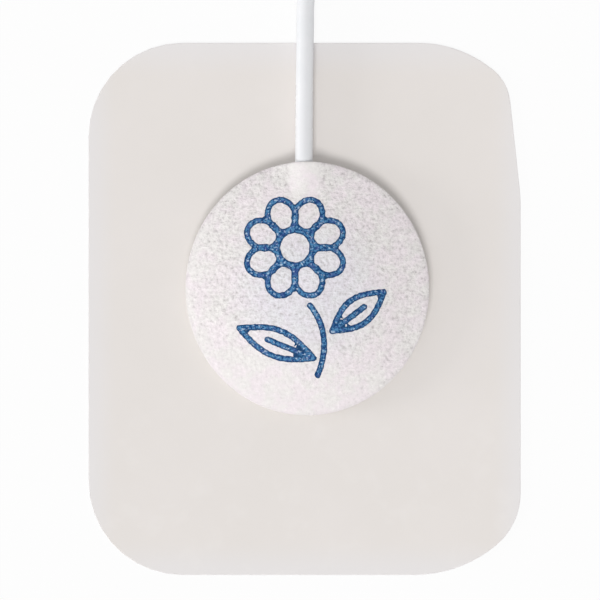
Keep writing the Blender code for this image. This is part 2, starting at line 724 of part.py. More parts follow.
def make_sensor():
    """Flange with a post, the cap pressed on it, and the terminal's eye between them."""
    post = SENSOR_POST_DIAMETER / 2
    flange = SENSOR_FLANGE_DIAMETER / 2
    cap = SENSOR_CAP_DIAMETER / 2
    post_top = CAP_Z + SENSOR_CAP_HEIGHT - SENSOR_CAP_ROOF - SENSOR_CLEARANCE
    disc = turned(
        "sensor_disc",
        (
            (0, post_top - FLANGE_Z),
            (post - SENSOR_CHAMFER, post_top - FLANGE_Z),
            (post, post_top - FLANGE_Z - SENSOR_CHAMFER),
            (post, SENSOR_FLANGE_THICKNESS),
            (flange - SENSOR_CHAMFER, SENSOR_FLANGE_THICKNESS),
            (flange, SENSOR_FLANGE_THICKNESS - SENSOR_CHAMFER),
            (flange, 0),
            (0, 0),
        ),
        silver_chloride,
    )
    disc.location = (PAD_X, PAD_Y, FLANGE_Z)
    top = turned(
        "sensor_cap",
        (
            (0, SENSOR_CAP_HEIGHT),
            (cap - 3 * SENSOR_CHAMFER, SENSOR_CAP_HEIGHT - SENSOR_CHAMFER),
            (cap, SENSOR_CAP_HEIGHT - 3 * SENSOR_CHAMFER),
            (cap, 0),
            (post + SENSOR_CLEARANCE, 0),
            (post + SENSOR_CLEARANCE, SENSOR_CAP_HEIGHT - SENSOR_CAP_ROOF),
            (0, SENSOR_CAP_HEIGHT - SENSOR_CAP_ROOF),
        ),
        tinned_metal,
    )
    top.location = (PAD_X, PAD_Y, CAP_Z)


def make_terminal():
    """Eye on the sensor's post, neck, and crimp barrel round the stripped conductor."""
    crimp_x = LEAD_ROUTE[0][0]
    barrel_middle = (CRIMP_START_Y + CRIMP_END_Y) / 2
    barrel = cylinder(
        "crimp_blank", CRIMP_RADIUS, "Y", (crimp_x, barrel_middle, CRIMP_Z), CRIMP_LENGTH
    )
    terminal = add_part("wire_terminal", barrel.data, tinned_metal)
    terminal.rotation_euler = barrel.rotation_euler
    terminal.location = barrel.location
    bpy.data.objects.remove(barrel)
    eye_middle = EYE_Z + EYE_THICKNESS / 2
    eye = cylinder(
        "eye_blank", EYE_DIAMETER / 2, "Z", (PAD_X, PAD_Y, eye_middle), EYE_THICKNESS, EYE_STEPS
    )
    neck_start = PAD_Y + EYE_DIAMETER / 2 - NECK_OVERLAP
    neck_end = CRIMP_START_Y + NECK_OVERLAP
    neck = block(
        "neck_blank",
        (NECK_WIDTH, neck_end - neck_start, NECK_THICKNESS),
        (crimp_x, (neck_start + neck_end) / 2, eye_middle),
    )
    bore_depth = CRIMP_LENGTH - CRIMP_BLIND
    bore = cylinder(
        "crimp_bore",
        CONDUCTOR_RADIUS + CONDUCTOR_CLEARANCE,
        "Y",
        (crimp_x, CRIMP_END_Y, CRIMP_Z),
        2 * bore_depth,
    )
    hole = cylinder(
        "eye_hole",
        SENSOR_POST_DIAMETER / 2 + SENSOR_CLEARANCE,
        "Z",
        (PAD_X, PAD_Y, eye_middle),
        4 * EYE_THICKNESS,
        CONNECTOR_STEPS,
    )
    boolean(terminal, neck, "UNION")
    boolean(terminal, eye, "UNION")
    boolean(terminal, bore, "DIFFERENCE")
    boolean(terminal, hole, "DIFFERENCE")
    stranded_end(
        "conductor_sensor_end",
        (crimp_x, STRIP_Y - REST_GAP, LEAD_PAD_Z),
        (crimp_x, CRIMP_END_Y - bore_depth + CONDUCTOR_CLEARANCE, CRIMP_Z),
        tinsel_copper,
    )


def on_pad(point):
    """A point of the drawn flower, at its place on the pad."""
    return (PAD_X + point[0] * PRINT_SCALE, PAD_Y + point[1] * PRINT_SCALE)


def make_print(ink_layer):
    """A generic flower in blue line: head, stem and two leaves."""
    centre = on_pad(FLOWER_CENTRE)
    ring = FLOWER_CENTRE_RADIUS * PRINT_SCALE
    reach = PETAL_REACH * PRINT_SCALE
    petal_size = (PETAL_HALF_LENGTH * PRINT_SCALE, PETAL_HALF_WIDTH * PRINT_SCALE)
    head = [oval_stroke(centre, ring, ring, 0)]
    for petal in range(PETAL_COUNT):
        angle = 2 * math.pi * (petal + 0.5) / PETAL_COUNT
        place = (centre[0] + reach * math.cos(angle), centre[1] + reach * math.sin(angle))
        head.append(oval_stroke(place, *petal_size, angle))
    printed("print_flower_head", head, ink_layer, blue_ink)
    stem = bent_line(*[on_pad(point) for point in STEM_POINTS], STEM_STEPS)
    printed("print_stem", [line_stroke(stem)], ink_layer, blue_ink)
    half_leaf = LEAF_HALF_WIDTH * PRINT_SCALE
    for side, ends in (("left", LEFT_LEAF), ("right", RIGHT_LEAF)):
        base, tip = [on_pad(point) for point in ends]
        edge = [
            leaf(base, tip, half_leaf, INK_WIDTH / 2),
            leaf(base, tip, half_leaf, -INK_WIDTH / 2),
        ]
        rib = line_stroke([base, tuple(Vector(base).lerp(Vector(tip), LEAF_RIB_SHARE))])
        printed(f"print_leaf_{side}", [edge, rib], ink_layer, blue_ink)


def make_lead():
    """The lead's two free stretches, its coil, and the tie round the coil."""
    lead_tube("lead_wire", LEAD_ROUTE, white_pvc)
    lead_tube("lead_tail", TAIL_ROUTE, white_pvc)
    circles = (
        (COIL_INNER_TURN, COIL_BOTTOM_Z),
        (COIL_OUTER_TURN, COIL_BOTTOM_Z),
        (COIL_OUTER_TURN - LEAD_RADIUS, COIL_TOP_Z),
        (COIL_INNER_TURN + LEAD_RADIUS, COIL_TOP_Z),
    )
    section = hull_outline(circles, LEAD_RADIUS, COIL_SECTION_STEPS)
    coil = turned("lead_coil", section, white_pvc, COIL_STEPS)
    coil.location = (COIL_X, COIL_Y, 0)
    make_tie()


def make_tie():
    """A twist tie: a strip wound round the coil's bundle, its ends twisted together inside the coil."""
    outer_x = COIL_X - COIL_OUTSIDE - TIE_CLEARANCE
    inner_x = COIL_X - COIL_INNER_TURN + LEAD_RADIUS + TIE_CLEARANCE
    low = REST_GAP + TIE_THICKNESS
    high = COIL_TOP_Z + LEAD_RADIUS + TIE_CLEARANCE
    inside = rounded_outline(
        (
            (outer_x, high, TIE_CORNER_RADIUS),
            (inner_x, high, TIE_CORNER_RADIUS),
            (inner_x, low, TIE_CORNER_RADIUS),
            (outer_x, low, TIE_CORNER_RADIUS),
        ),
        TIE_CORNER_STEPS,
    )
    outside = rounded_outline(
        (
            (outer_x - TIE_THICKNESS, high + TIE_THICKNESS, TIE_CORNER_RADIUS + TIE_THICKNESS),
            (inner_x + TIE_THICKNESS, high + TIE_THICKNESS, TIE_CORNER_RADIUS + TIE_THICKNESS),
            (inner_x + TIE_THICKNESS, low - TIE_THICKNESS, TIE_CORNER_RADIUS + TIE_THICKNESS),
            (outer_x - TIE_THICKNESS, low - TIE_THICKNESS, TIE_CORNER_RADIUS + TIE_THICKNESS),
        ),
        TIE_CORNER_STEPS,
    )
    loop = flat_curve("coil_tie", [outside, inside], TIE_WIDTH / 2)
    drawn = add_cutter("tie_loop", loop)
    tie = add_part("coil_tie", evaluated_mesh(drawn), tie_paper)
    bpy.data.objects.remove(drawn)
    tie.rotation_euler = (math.pi / 2, 0, 0)
    tie.location = (0, COIL_Y, 0)
    half_width = TIE_TAIL_WIDTH / 2
    half_thickness = TIE_TAIL_THICKNESS / 2
    corners = (
        (-half_width, half_thickness),
        (half_width, half_thickness),
        (half_width, -half_thickness),
        (-half_width, -half_thickness),
    )
    section = flat_curve("tie_tail_section", [corners], 0)
    section.fill_mode = "NONE"
    helper = add_cutter("tie_tail_section", section)
    start = Vector((inner_x + TIE_THICKNESS - TIE_TAIL_OVERLAP, COIL_Y, (low + high) / 2))
    shares = stations(0, 1, TIE_TAIL_STEPS)
    tail = wire_curve(
        "tie_tail", [start + Vector((TIE_TAIL_LENGTH * share, 0, 0)) for share in shares]
    )
    for share, point in zip(shares, tail.splines[0].points):
        point.tilt = 2 * math.pi * TIE_TAIL_TURNS * share
    tail.bevel_mode = "OBJECT"
    tail.bevel_object = helper
    bare = add_cutter("tie_tail_curve", tail)
    solid = add_cutter("tie_tail", evaluated_mesh(bare))
    bpy.data.objects.remove(bare)
    boolean(tie, solid, "UNION")


def connector_profile():
    """The connector's outline from its mouth back to its rear, then forward through its bores."""
    nose = NOSE_DIAMETER / 2
    grip = GRIP_DIAMETER / 2
    front = CONNECTOR_LENGTH
    shoulder = front - NOSE_LENGTH
    outline = [
        (nose - CONNECTOR_CHAMFER, front),
        (nose, front - CONNECTOR_CHAMFER),
        (nose, shoulder),
        (grip - CONNECTOR_CHAMFER, shoulder - CONNECTOR_CHAMFER / 2),
        (grip, shoulder - 1.5 * CONNECTOR_CHAMFER),
    ]
    ribs_middle = (shoulder + GRIP_TAPER_LENGTH) / 2
    rise = GRIP_RIB_WIDTH / 4
    for rib in range(GRIP_RIB_COUNT):
        middle = ribs_middle + GRIP_RIB_PITCH * ((GRIP_RIB_COUNT - 1) / 2 - rib)
        outline += [
            (grip, middle + 2 * rise),
            (grip + GRIP_RIB_HEIGHT, middle + rise),
            (grip + GRIP_RIB_HEIGHT, middle - rise),
            (grip, middle - 2 * rise),
        ]
    contact_bore = CONTACT_DIAMETER / 2 + CONTACT_CLEARANCE
    lead_bore = LEAD_RADIUS + CONTACT_CLEARANCE
    outline += [
        (grip, GRIP_TAPER_LENGTH),
        (GRIP_REAR_DIAMETER / 2, CONNECTOR_CHAMFER),
        (GRIP_REAR_DIAMETER / 2 - CONNECTOR_CHAMFER, 0),
        (lead_bore, 0),
        (lead_bore, LEAD_SEAT_DEPTH),
        (contact_bore, LEAD_SEAT_DEPTH),
        (contact_bore, front),
    ]
    return outline


def relief_profile():
    """The strain relief's outline: a taper with bend grooves, and the lead's bore through it."""
    front = RELIEF_FRONT_DIAMETER / 2
    rear = RELIEF_REAR_DIAMETER / 2

    def taper(height):
        return rear + (front - rear) * height / RELIEF_LENGTH

    outline = [(taper(RELIEF_LENGTH), RELIEF_LENGTH)]
    for groove in range(RELIEF_GROOVE_COUNT):
        top = RELIEF_LENGTH - RELIEF_START - RELIEF_GROOVE_PITCH * groove
        bottom = top - RELIEF_GROOVE_WIDTH
        slope = RELIEF_GROOVE_WIDTH / 6
        outline += [
            (taper(top), top),
            (taper(top) - RELIEF_GROOVE_DEPTH, top - slope),
            (taper(bottom) - RELIEF_GROOVE_DEPTH, bottom + slope),
            (taper(bottom), bottom),
        ]
    bore = LEAD_RADIUS + CONTACT_CLEARANCE
    outline += [
        (taper(SENSOR_CHAMFER), SENSOR_CHAMFER),
        (rear - SENSOR_CHAMFER, 0),
        (bore, 0),
        (bore, RELIEF_LENGTH),
    ]
    return outline


def contact_profile():
    """The contact: a socket for the pin at the front, a web, and a crimp barrel at the rear."""
    body = CONTACT_DIAMETER / 2
    bore = CONTACT_BORE / 2
    crimp = CONTACT_CRIMP_DIAMETER / 2
    crimp_bore = CONDUCTOR_RADIUS + CONDUCTOR_CLEARANCE
    front = CONTACT_LENGTH
    return (
        (0, front - CONTACT_BORE_DEPTH),
        (bore, front - CONTACT_BORE_DEPTH),
        (bore, front - SENSOR_CHAMFER),
        (bore + SENSOR_CHAMFER, front),
        (body - SENSOR_CHAMFER, front),
        (body, front - SENSOR_CHAMFER),
        (body, CONTACT_CRIMP_LENGTH),
        (crimp, CONTACT_CRIMP_LENGTH),
        (crimp, 0),
        (crimp_bore, 0),
        (crimp_bore, CONTACT_CRIMP_DEPTH),
        (0, CONTACT_CRIMP_DEPTH),
    )


def make_connector():
    """The touch-proof connector, its contact and its strain relief, all on one axis along Y."""
    facing = (math.pi / 2, 0, 0)
    body = turned("connector_body", connector_profile(), white_moulding)
    body.rotation_euler = facing
    body.location = (CONNECTOR_X, CONNECTOR_REAR_Y, CONNECTOR_Z)
    relief = turned("strain_relief", relief_profile(), white_moulding)
    relief.rotation_euler = facing
    relief.location = (CONNECTOR_X, RELIEF_REAR_Y, CONNECTOR_Z)
    contact_rear = CONNECTOR_FRONT_Y + CONTACT_RECESS + CONTACT_LENGTH
    contact = turned("contact_socket", contact_profile(), gold_plate, 24)
    contact.rotation_euler = facing
    contact.location = (CONNECTOR_X, contact_rear, CONNECTOR_Z)
    slot_middle = CONNECTOR_FRONT_Y + CONTACT_RECESS
    across = 2 * CONTACT_DIAMETER
    for name, size in (
        ("contact_slot_flat", (across, 2 * CONTACT_SLOT_LENGTH, CONTACT_SLOT)),
        ("contact_slot_upright", (CONTACT_SLOT, 2 * CONTACT_SLOT_LENGTH, across)),
    ):
        slot = block(name, size, (CONNECTOR_X, slot_middle, CONNECTOR_Z))
        boolean(contact, slot, "DIFFERENCE")
    stranded_end(
        "conductor_plug_end",
        (CONNECTOR_X, LEAD_SEAT_Y - REST_GAP, CONNECTOR_Z),
        (CONNECTOR_X, contact_rear - CONTACT_CRIMP_DEPTH + CONDUCTOR_CLEARANCE, CONNECTOR_Z),
        tinsel_copper,
    )


make_liner()
make_pad()
make_sensor()
make_terminal()
make_lead()
make_connector()
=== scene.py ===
import math

import bmesh
import bpy
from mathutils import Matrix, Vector, kdtree, noise


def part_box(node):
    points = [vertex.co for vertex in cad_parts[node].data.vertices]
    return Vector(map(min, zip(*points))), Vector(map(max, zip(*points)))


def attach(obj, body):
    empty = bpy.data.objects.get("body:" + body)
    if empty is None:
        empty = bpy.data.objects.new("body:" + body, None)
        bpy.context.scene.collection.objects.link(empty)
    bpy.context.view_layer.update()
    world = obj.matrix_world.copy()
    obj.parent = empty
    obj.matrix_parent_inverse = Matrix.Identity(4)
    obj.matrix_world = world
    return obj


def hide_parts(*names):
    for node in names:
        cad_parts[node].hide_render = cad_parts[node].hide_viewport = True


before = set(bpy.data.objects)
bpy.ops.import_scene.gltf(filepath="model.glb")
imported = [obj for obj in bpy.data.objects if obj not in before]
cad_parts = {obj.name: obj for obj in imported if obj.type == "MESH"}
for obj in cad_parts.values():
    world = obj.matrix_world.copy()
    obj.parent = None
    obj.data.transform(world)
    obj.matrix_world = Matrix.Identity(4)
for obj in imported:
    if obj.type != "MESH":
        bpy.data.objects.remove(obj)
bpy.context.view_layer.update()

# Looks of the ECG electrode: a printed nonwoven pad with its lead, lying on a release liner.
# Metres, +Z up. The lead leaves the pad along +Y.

MM = 0.001
WELD = 1e-7

# The photograph's frame, seen from straight above
PHOTO_SIDE = 60.0 * MM
PHOTO_CENTRE = (-0.45 * MM, 0.9 * MM)
CAMERA_HEIGHT = 600.0 * MM
SENSOR_WIDTH = 36.0
CLIP_START = 0.01
CLIP_END = 10.0

# Light: each lamp's share of what falls on a flat surface, its place and its spread in degrees
KEY_LIGHT = {"share": 0.36, "azimuth": 257, "elevation": 60, "spread": 27}
SIDE_LIGHT = {"share": 0.066, "azimuth": 184, "elevation": 11, "spread": 21}
SKY_SHARE = 0.554
WHITE = (1.0, 1.0, 1.0, 1.0)
FLOOR_PAPER = (0.88, 0.88, 0.88, 1.0)
FLOOR_WHITE_SHARE = 0.88
FLOOR_HALF = 1.5
FLOOR_Z = -0.02 * MM

# Liner
LINER_EDGE_ROUND = 0.04 * MM
LINER_EDGE_BAND = 0.05 * MM

# Pad, from the frame
cover_low, cover_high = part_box("cover_disc")
PAD_X = (cover_low.x + cover_high.x) / 2
PAD_Y = (cover_low.y + cover_high.y) / 2
PAD_HALF_WIDTH = (cover_high.x - cover_low.x) / 2
PAD_HALF_LENGTH = (cover_high.y - cover_low.y) / 2
COVER_RIM_Z = cover_low.z
FOAM_BASE_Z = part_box("foam_base")[0].z

# Cover
COVER_THICKNESS = 0.25 * MM
DOME_RISE = 1.8 * MM
DOME_POWER = 1.3
GLUE_LINE = 0.02 * MM
RIM_ROLL_WIDTH = 1.4 * MM
RIM_ROLL_TOP = 0.21 * MM
RIM_ROLL_UNDER = 0.09 * MM
COVER_CELLS = 190
RIM_CROWDING = 0.82
PEBBLE_SIZE = 0.52 * MM
PEBBLE_RISE = 0.011 * MM
PUCKER_SIZE = 2.6 * MM
PUCKER_RISE = 0.03 * MM

# The strip of cover that is drawn taut over the lead
TAUT_HALF_WIDTH = 0.9 * MM
TAUT_FADE = 1.4 * MM
TAUT_RUN_IN = 0.6 * MM
TAUT_RUN_FADE = 1.8 * MM
TAUT_EVENNESS = 0.75

# Foam and gel
GEL_HOLE_SHARE = 11.0 / 24.3
FOAM_STEPS = 320
FOAM_RINGS = 20
FOAM_CROWDING = 0.68
FOAM_WALL_CUTS = 7
FOAM_RIM_SHARE = 0.99
FOAM_EDGE_ROUND = 0.06 * MM
FOAM_EDGE_POWER = 6
FOAM_CELL_RISE = 0.012 * MM
FOAM_CELL_SIZE = 0.3 * MM
GEL_ROUND = 0.16 * MM

# Lead
LEAD_DIAMETER = 1.75 * MM
LEAD_RADIUS = LEAD_DIAMETER / 2
LEAD_CLEARANCE = 0.03 * MM
LEAD_ROUNDNESS = 10
LEAD_CURVE_STEPS = 5
LEAD_X = -0.05 * MM
LEAD_PAD_Z = 1.375 * MM
LEAD_LINER_Z = 1.145 * MM
LEAD_FLOOR_Z = 0.895 * MM
PAD_EXIT_Y = PAD_Y + PAD_HALF_LENGTH
STRIP_Y = PAD_EXIT_Y - 3.2 * MM
RIDGE_HALF_WIDTH = 3.4 * MM
RIDGE_FADE = 3.2 * MM
RIDGE_BLEND = 3
RIDGE_RISE = LEAD_PAD_Z + LEAD_RADIUS + LEAD_CLEARANCE - COVER_RIM_Z

# Grain of the nonwoven: its sizes, where the lead pulls it smooth, and where it grows stronger,
# towards the pad's upper right, where the light grazes it
GRAIN_SIZE = 0.35 * MM
FIBRE_SIDES = (0.9 * MM, 0.035 * MM, MM)
FIBRE_TURNS = (0.35, 1.3, 2.35)
COVER_RELIEF = 0.19 * MM
INK_RELIEF = 0.03 * MM
PULLED_BESIDE = (1.2 * MM, 2.0 * MM)
PULLED_BEHIND = (STRIP_Y - 1.2 * MM, STRIP_Y + 0.4 * MM)
GRAIN_SLANT = 0.25
GRAIN_UPWARDS = (-10 * MM, 0.0)
GRAIN_RIGHTWARDS = (-12.5 * MM, -8 * MM)

# Coil: four turns below and two above, counter-clockwise from the side where the lead comes in
COIL_X = -7.2 * MM
COIL_Y = 50.0 * MM
COIL_OUTER_TURN = 13.125 * MM
COIL_TURNS = 6
COIL_BOTTOM_TURNS = 4
COIL_POINTS = 24
COIL_SHIFT = 120
COIL_CLIMB = 60

# Tie round the coil, at 180 degrees, and how it lifts the coil there
TIE_ANGLE = 180
TIE_LIFT = 0.32 * MM
TIE_LIFT_SPAN = 55
TIE_LIFT_FADE = 40
TIE_WIDTH = 3.0 * MM
TIE_THICKNESS = 0.2 * MM
TIE_WIRE_RISE = 0.1 * MM
TIE_WIRE_FOOT = 1.8
TIE_WIRE_CREST = 0.5
TIE_WIRE_ROUND = 0.1 * MM
TIE_CORNER = 0.9 * MM
TIE_EDGE_ROUND = 0.05 * MM
TIE_ROUND_STEPS = 3
TIE_TAIL_LENGTH = 5.5 * MM
TIE_TAIL_WIDTH = 1.35 * MM
TIE_TAIL_INNER = 0.05 * MM
TIE_TAIL_OUTER = 0.26 * MM
TIE_TAIL_CREST = 0.42 * MM
TIE_TAIL_CREST_ROUND = 0.12 * MM
TIE_TAIL_TURNS = 2.5
TIE_TAIL_STEPS = 60

# Connector
CONNECTOR_X = 15.7 * MM
CONNECTOR_Z = 3.42 * MM
CONNECTOR_FRONT_Y = 34.0 * MM
CONNECTOR_REAR_Y = 58.0 * MM
SHOULDER_Y = 43.5 * MM
NOSE_RADIUS = 2.2 * MM
GRIP_RADIUS = 3.1 * MM
GRIP_RIB_HEIGHT = 0.3 * MM
GRIP_RIB_COUNT = 5
GRIP_RIB_PITCH = 1.9 * MM
GRIP_RIB_WIDTH = 1.1 * MM
GRIP_TAPER_LENGTH = 2.2 * MM
GRIP_REAR_RADIUS = 2.45 * MM
CONTACT_BORE = 1.2 * MM
LEAD_BORE = 0.925 * MM
LEAD_SEAT_Y = 50.6 * MM
EDGE_ROUND = 0.12 * MM
NOSE_ROUND = 0.3 * MM
SHOULDER_ROUND = 0.35 * MM
TAPER_ROUND = 0.8 * MM
GRIP_REAR_ROUND = 0.25 * MM
CONNECTOR_ROUND_STEPS = 5
MOULD_SEAM = 0.035 * MM
SEAM_CLEAR_OF_BORE = 0.1 * MM
TURNED_STEPS = 72

# Bend relief
RELIEF_FRONT_Y = 58.05 * MM
RELIEF_REAR_Y = 67.05 * MM
RELIEF_FRONT_RADIUS = 2.3 * MM
RELIEF_REAR_RADIUS = 1.45 * MM
RELIEF_GROOVES = 4
RELIEF_GROOVE_START = 1.3 * MM
RELIEF_GROOVE_PITCH = 1.7 * MM
RELIEF_GROOVE_WIDTH = 0.8 * MM
RELIEF_GROOVE_SLOPE = RELIEF_GROOVE_WIDTH / 6
RELIEF_GROOVE_DEPTH = 0.3 * MM
RELIEF_LIP_ROUND = 0.06 * MM
RELIEF_FLOOR_ROUND = 0.08 * MM
RELIEF_REAR_ROUND = 0.15 * MM
RELIEF_ROUND_STEPS = 4

# The lead's route from the pad to the coil, and from the coil to the connector
LEAD_ROUTE = (
    (LEAD_X, STRIP_Y, LEAD_PAD_Z),
    (LEAD_X, PAD_EXIT_Y, LEAD_PAD_Z),
    (LEAD_X, PAD_EXIT_Y + 1.6 * MM, LEAD_PAD_Z - 0.05 * MM),
    (-0.03 * MM, PAD_EXIT_Y + 4.8 * MM, LEAD_LINER_Z),
    (0.0 * MM, 23.5 * MM, LEAD_LINER_Z),
    (0.07 * MM, 27.6 * MM, LEAD_LINER_Z),
    (0.2 * MM, 31.4 * MM, LEAD_FLOOR_Z + 0.06 * MM),
    (1.1 * MM, 35.2 * MM, LEAD_FLOOR_Z),
    (3.3 * MM, 38.3 * MM, LEAD_FLOOR_Z),
    (4.76 * MM, 40.66 * MM, LEAD_FLOOR_Z),
    (5.6 * MM, 43.6 * MM, LEAD_FLOOR_Z),
    (5.88 * MM, 46.8 * MM, LEAD_FLOOR_Z),
)
TAIL_ROUTE = (
    (5.05 * MM, 52.6 * MM, LEAD_FLOOR_Z + 1.78 * MM),
    (5.05 * MM, 55.3 * MM, LEAD_FLOOR_Z + 1.75 * MM),
    (5.05 * MM, 57.3 * MM, LEAD_FLOOR_Z + 1.38 * MM),
    (5.05 * MM, 58.96 * MM, LEAD_FLOOR_Z + 0.75 * MM),
    (5.15 * MM, 62.76 * MM, LEAD_FLOOR_Z + 0.08 * MM),
    (5.4 * MM, 66.4 * MM, LEAD_FLOOR_Z),
    (6.6 * MM, 70.4 * MM, LEAD_FLOOR_Z),
    (9.6 * MM, 73.6 * MM, LEAD_FLOOR_Z + 0.3 * MM),
    (13.2 * MM, 73.4 * MM, LEAD_FLOOR_Z + 1.2 * MM),
    (CONNECTOR_X - 0.3 * MM, 70.5 * MM, CONNECTOR_Z - 0.35 * MM),
    (CONNECTOR_X, RELIEF_REAR_Y, CONNECTOR_Z),
    (CONNECTOR_X, CONNECTOR_REAR_Y, CONNECTOR_Z),
    (CONNECTOR_X, LEAD_SEAT_Y, CONNECTOR_Z),
)

# Printed flower, drawn round the pad's centre
INK_WIDTH = 0.6 * MM
INK_LIFT = 0.012 * MM
INK_FILM = 0.008 * MM
INK_RAG = 0.07 * MM
INK_RAG_SIZE = 0.3 * MM
INK_SPACING = 0.03 * MM
FLOWER_CENTRE = (-1.23 * MM, 4.05 * MM)
FLOWER_CENTRE_RADIUS = 1.75 * MM
PETAL_COUNT = 8
PETAL_REACH = 3.45 * MM
PETAL_HALF_LENGTH = 1.62 * MM
PETAL_HALF_WIDTH = 1.36 * MM
STEM = ((0.27 * MM, -1.7 * MM), (2.62 * MM, -4.65 * MM), (1.02 * MM, -8.65 * MM))
LEFT_LEAF = ((0.62 * MM, -6.95 * MM), (-6.78 * MM, -3.95 * MM))
RIGHT_LEAF = ((2.47 * MM, -4.25 * MM), (7.62 * MM, -0.35 * MM))
LEAF_HALF_WIDTH = 1.3 * MM
LEAF_RIB_SHARE = 0.62


class Signal:
    """A shader socket in a sum or product: each operation on it adds a Math node."""

    def __init__(self, finish, socket):
        self.finish = finish
        self.socket = socket

    def maths(self, operation, first, second=0.0):
        return self.finish.node("Math", {"operation": operation}, {0: first, 1: second})

    def __add__(self, other):
        return self.maths("ADD", self, other)

    def __radd__(self, other):
        return self.maths("ADD", other, self)

    def __sub__(self, other):
        return self.maths("SUBTRACT", self, other)

    def __rsub__(self, other):
        return self.maths("SUBTRACT", other, self)

    def __mul__(self, other):
        return self.maths("MULTIPLY", self, other)

    def __rmul__(self, other):
        return self.maths("MULTIPLY", other, self)

    def __truediv__(self, other):
        return self.maths("DIVIDE", self, other)

    def __abs__(self):
        return self.maths("ABSOLUTE", self)


class Finish:
    """The shader nodes of a new material or sky, with the few kinds that this scene uses."""

    def __init__(self, owner):
        owner.use_nodes = True
        self.owner = owner
        self.tree = owner.node_tree
        self.tree.nodes.clear()

    def place(self):
        return self.node("TexCoord", {}, {}, "Object")

    def node(self, kind, settings, inputs, output=0):
        made = self.tree.nodes.new("ShaderNode" + kind)
        for name, value in settings.items():
            setattr(made, name, value)
        for name, value in inputs.items():
            if isinstance(value, Signal):
                self.tree.links.new(value.socket, made.inputs[name])
            else:
                made.inputs[name].default_value = value
        return Signal(self, made.outputs[output]) if made.outputs else None

    def noise(self, size, detail=2.0, roughness=0.5):
        """Soft noise round 0.5 whose blobs are about a size across."""
        inputs = {
            "Vector": self.place(),
            "Scale": 1 / size,
            "Detail": detail,
            "Roughness": roughness,
        }
        return self.node("TexNoise", {}, inputs, "Fac")

    def cells(self, size):
        """Distance from the nearest of many scattered points, 0 at a point."""
        inputs = {"Vector": self.place(), "Scale": 1 / size}
        return self.node("TexVoronoi", {}, inputs, "Distance")

    def stretched(self, sides, turn=0.0):
        """Noise whose blobs have these sides along X, Y and Z, turned in the plan."""
        inputs = {
            "Vector": self.place(),
            "Rotation": (0, 0, turn),
            "Scale": [1 / side for side in sides],
        }
        laid = self.node("Mapping", {}, inputs)
        return self.node("TexNoise", {}, {"Vector": laid, "Scale": 1.0, "Detail": 1.0}, "Fac")

    def between(self, value, low, high):
        """0 below low, 1 above high, and smooth in between."""
        inputs = {"Value": value, "From Min": low, "From Max": high}
        return self.node("MapRange", {"interpolation_type": "SMOOTHSTEP"}, inputs)

    def blend(self, first, second, share):
        """A colour on the way from the first to the second."""
        # The Mix node's sockets for colours are inputs 6 and 7 and output 2
        colours = {6: first, 7: second}
        for socket, colour in colours.items():
            if not isinstance(colour, Signal):
                colours[socket] = (*colour, 1.0)
        return self.node("Mix", {"data_type": "RGBA"}, {0: share, **colours}, 2)

    def axis(self, name):
        return self.node("SeparateXYZ", {}, {0: self.place()}, name)

    def bump(self, height, rise):
        """A relief that stands a rise high where the height is 1."""
        return self.node("Bump", {}, {"Height": height, "Distance": rise, "Strength": 1.0})

    def surface(self, sockets):
        """Ends the material with one Principled shader and gives it back."""
        shader = self.node("BsdfPrincipled", {}, sockets)
        self.node("OutputMaterial", {}, {"Surface": shader})
        return self.owner


def new_finish(name):
    return Finish(bpy.data.materials.new(name))


def smooth(value):
    """0 up to 0, 1 from 1 on, and smooth in between."""
    share = min(1.0, max(0.0, value))
    return share * share * (3 - 2 * share)


# Materials


def film_finish():
    """Silicone-coated film: warm grey, a little cooler at its border, satin, faintly clouded."""
    film = new_finish("silicone coated film")
    clouds = film.between(film.noise(11 * MM, 3.0, 0.6), 0.3, 0.7)
    warm = film.blend((0.765, 0.725, 0.695), (0.778, 0.737, 0.711), clouds)
    low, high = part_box("release_liner")
    across = abs(film.axis("X")) / ((high.x - low.x) / 2)
    along = abs(film.axis("Y")) / ((high.y - low.y) / 2)
    border = film.between(across.maths("MAXIMUM", across, along), 0.86, 1.0)
    edged = film.blend(warm, (0.775, 0.755, 0.76), border * 0.75)
    rubbed = film.between(film.noise(3.2 * MM, 3.0, 0.65), 0.5, 0.72)
    below_pad = film.between(-1 * film.axis("Y"), 8 * MM, 13 * MM)
    colour = film.blend(edged, (0.85, 0.82, 0.80), rubbed * below_pad * 0.16)
    sheen = 0.4 + clouds * 0.08 + rubbed * 0.06
    grain = film.noise(0.11 * MM, 2.0, 0.6) + film.noise(6 * MM) * 12
    return film.surface(
        {"Base Color": colour, "Roughness": sheen, "Normal": film.bump(grain, 0.0012 * MM)}
    )


def web_relief(finish):
    """The nonwoven's pebbles, its relief, how strong its grain is, and how far the lead pulls it.

    The lead draws it smooth. Its relief, and the painted shade in its hollows, weaken towards the
    pad's lower and left edges, where the light falls full on it.
    """
    pebbles = finish.noise(GRAIN_SIZE, 2.0, 0.6)
    fibres = finish.stretched(FIBRE_SIDES, FIBRE_TURNS[0])
    for turn in FIBRE_TURNS[1:]:
        fibres = fibres + finish.stretched(FIBRE_SIDES, turn)
    beside = finish.between(abs(finish.axis("X") - LEAD_X), *PULLED_BESIDE)
    behind = finish.between(finish.axis("Y"), *PULLED_BEHIND)
    pulled = (1 - beside) * behind
    # Grain strength: weaker towards the lower and left edges, stronger towards the upper right,
    # where the light grazes; it also sets how deep the painted hollow shade is.
    upper = finish.between(finish.axis("X") * GRAIN_SLANT + finish.axis("Y"), *GRAIN_UPWARDS)
    inner = finish.between(finish.axis("X"), *GRAIN_RIGHTWARDS)
    grain_strength = (1 - pulled) * upper * (0.35 + inner * 0.65)
    return pebbles, (pebbles + fibres * 0.15) * (0.35 + grain_strength * 0.65), grain_strength, pulled


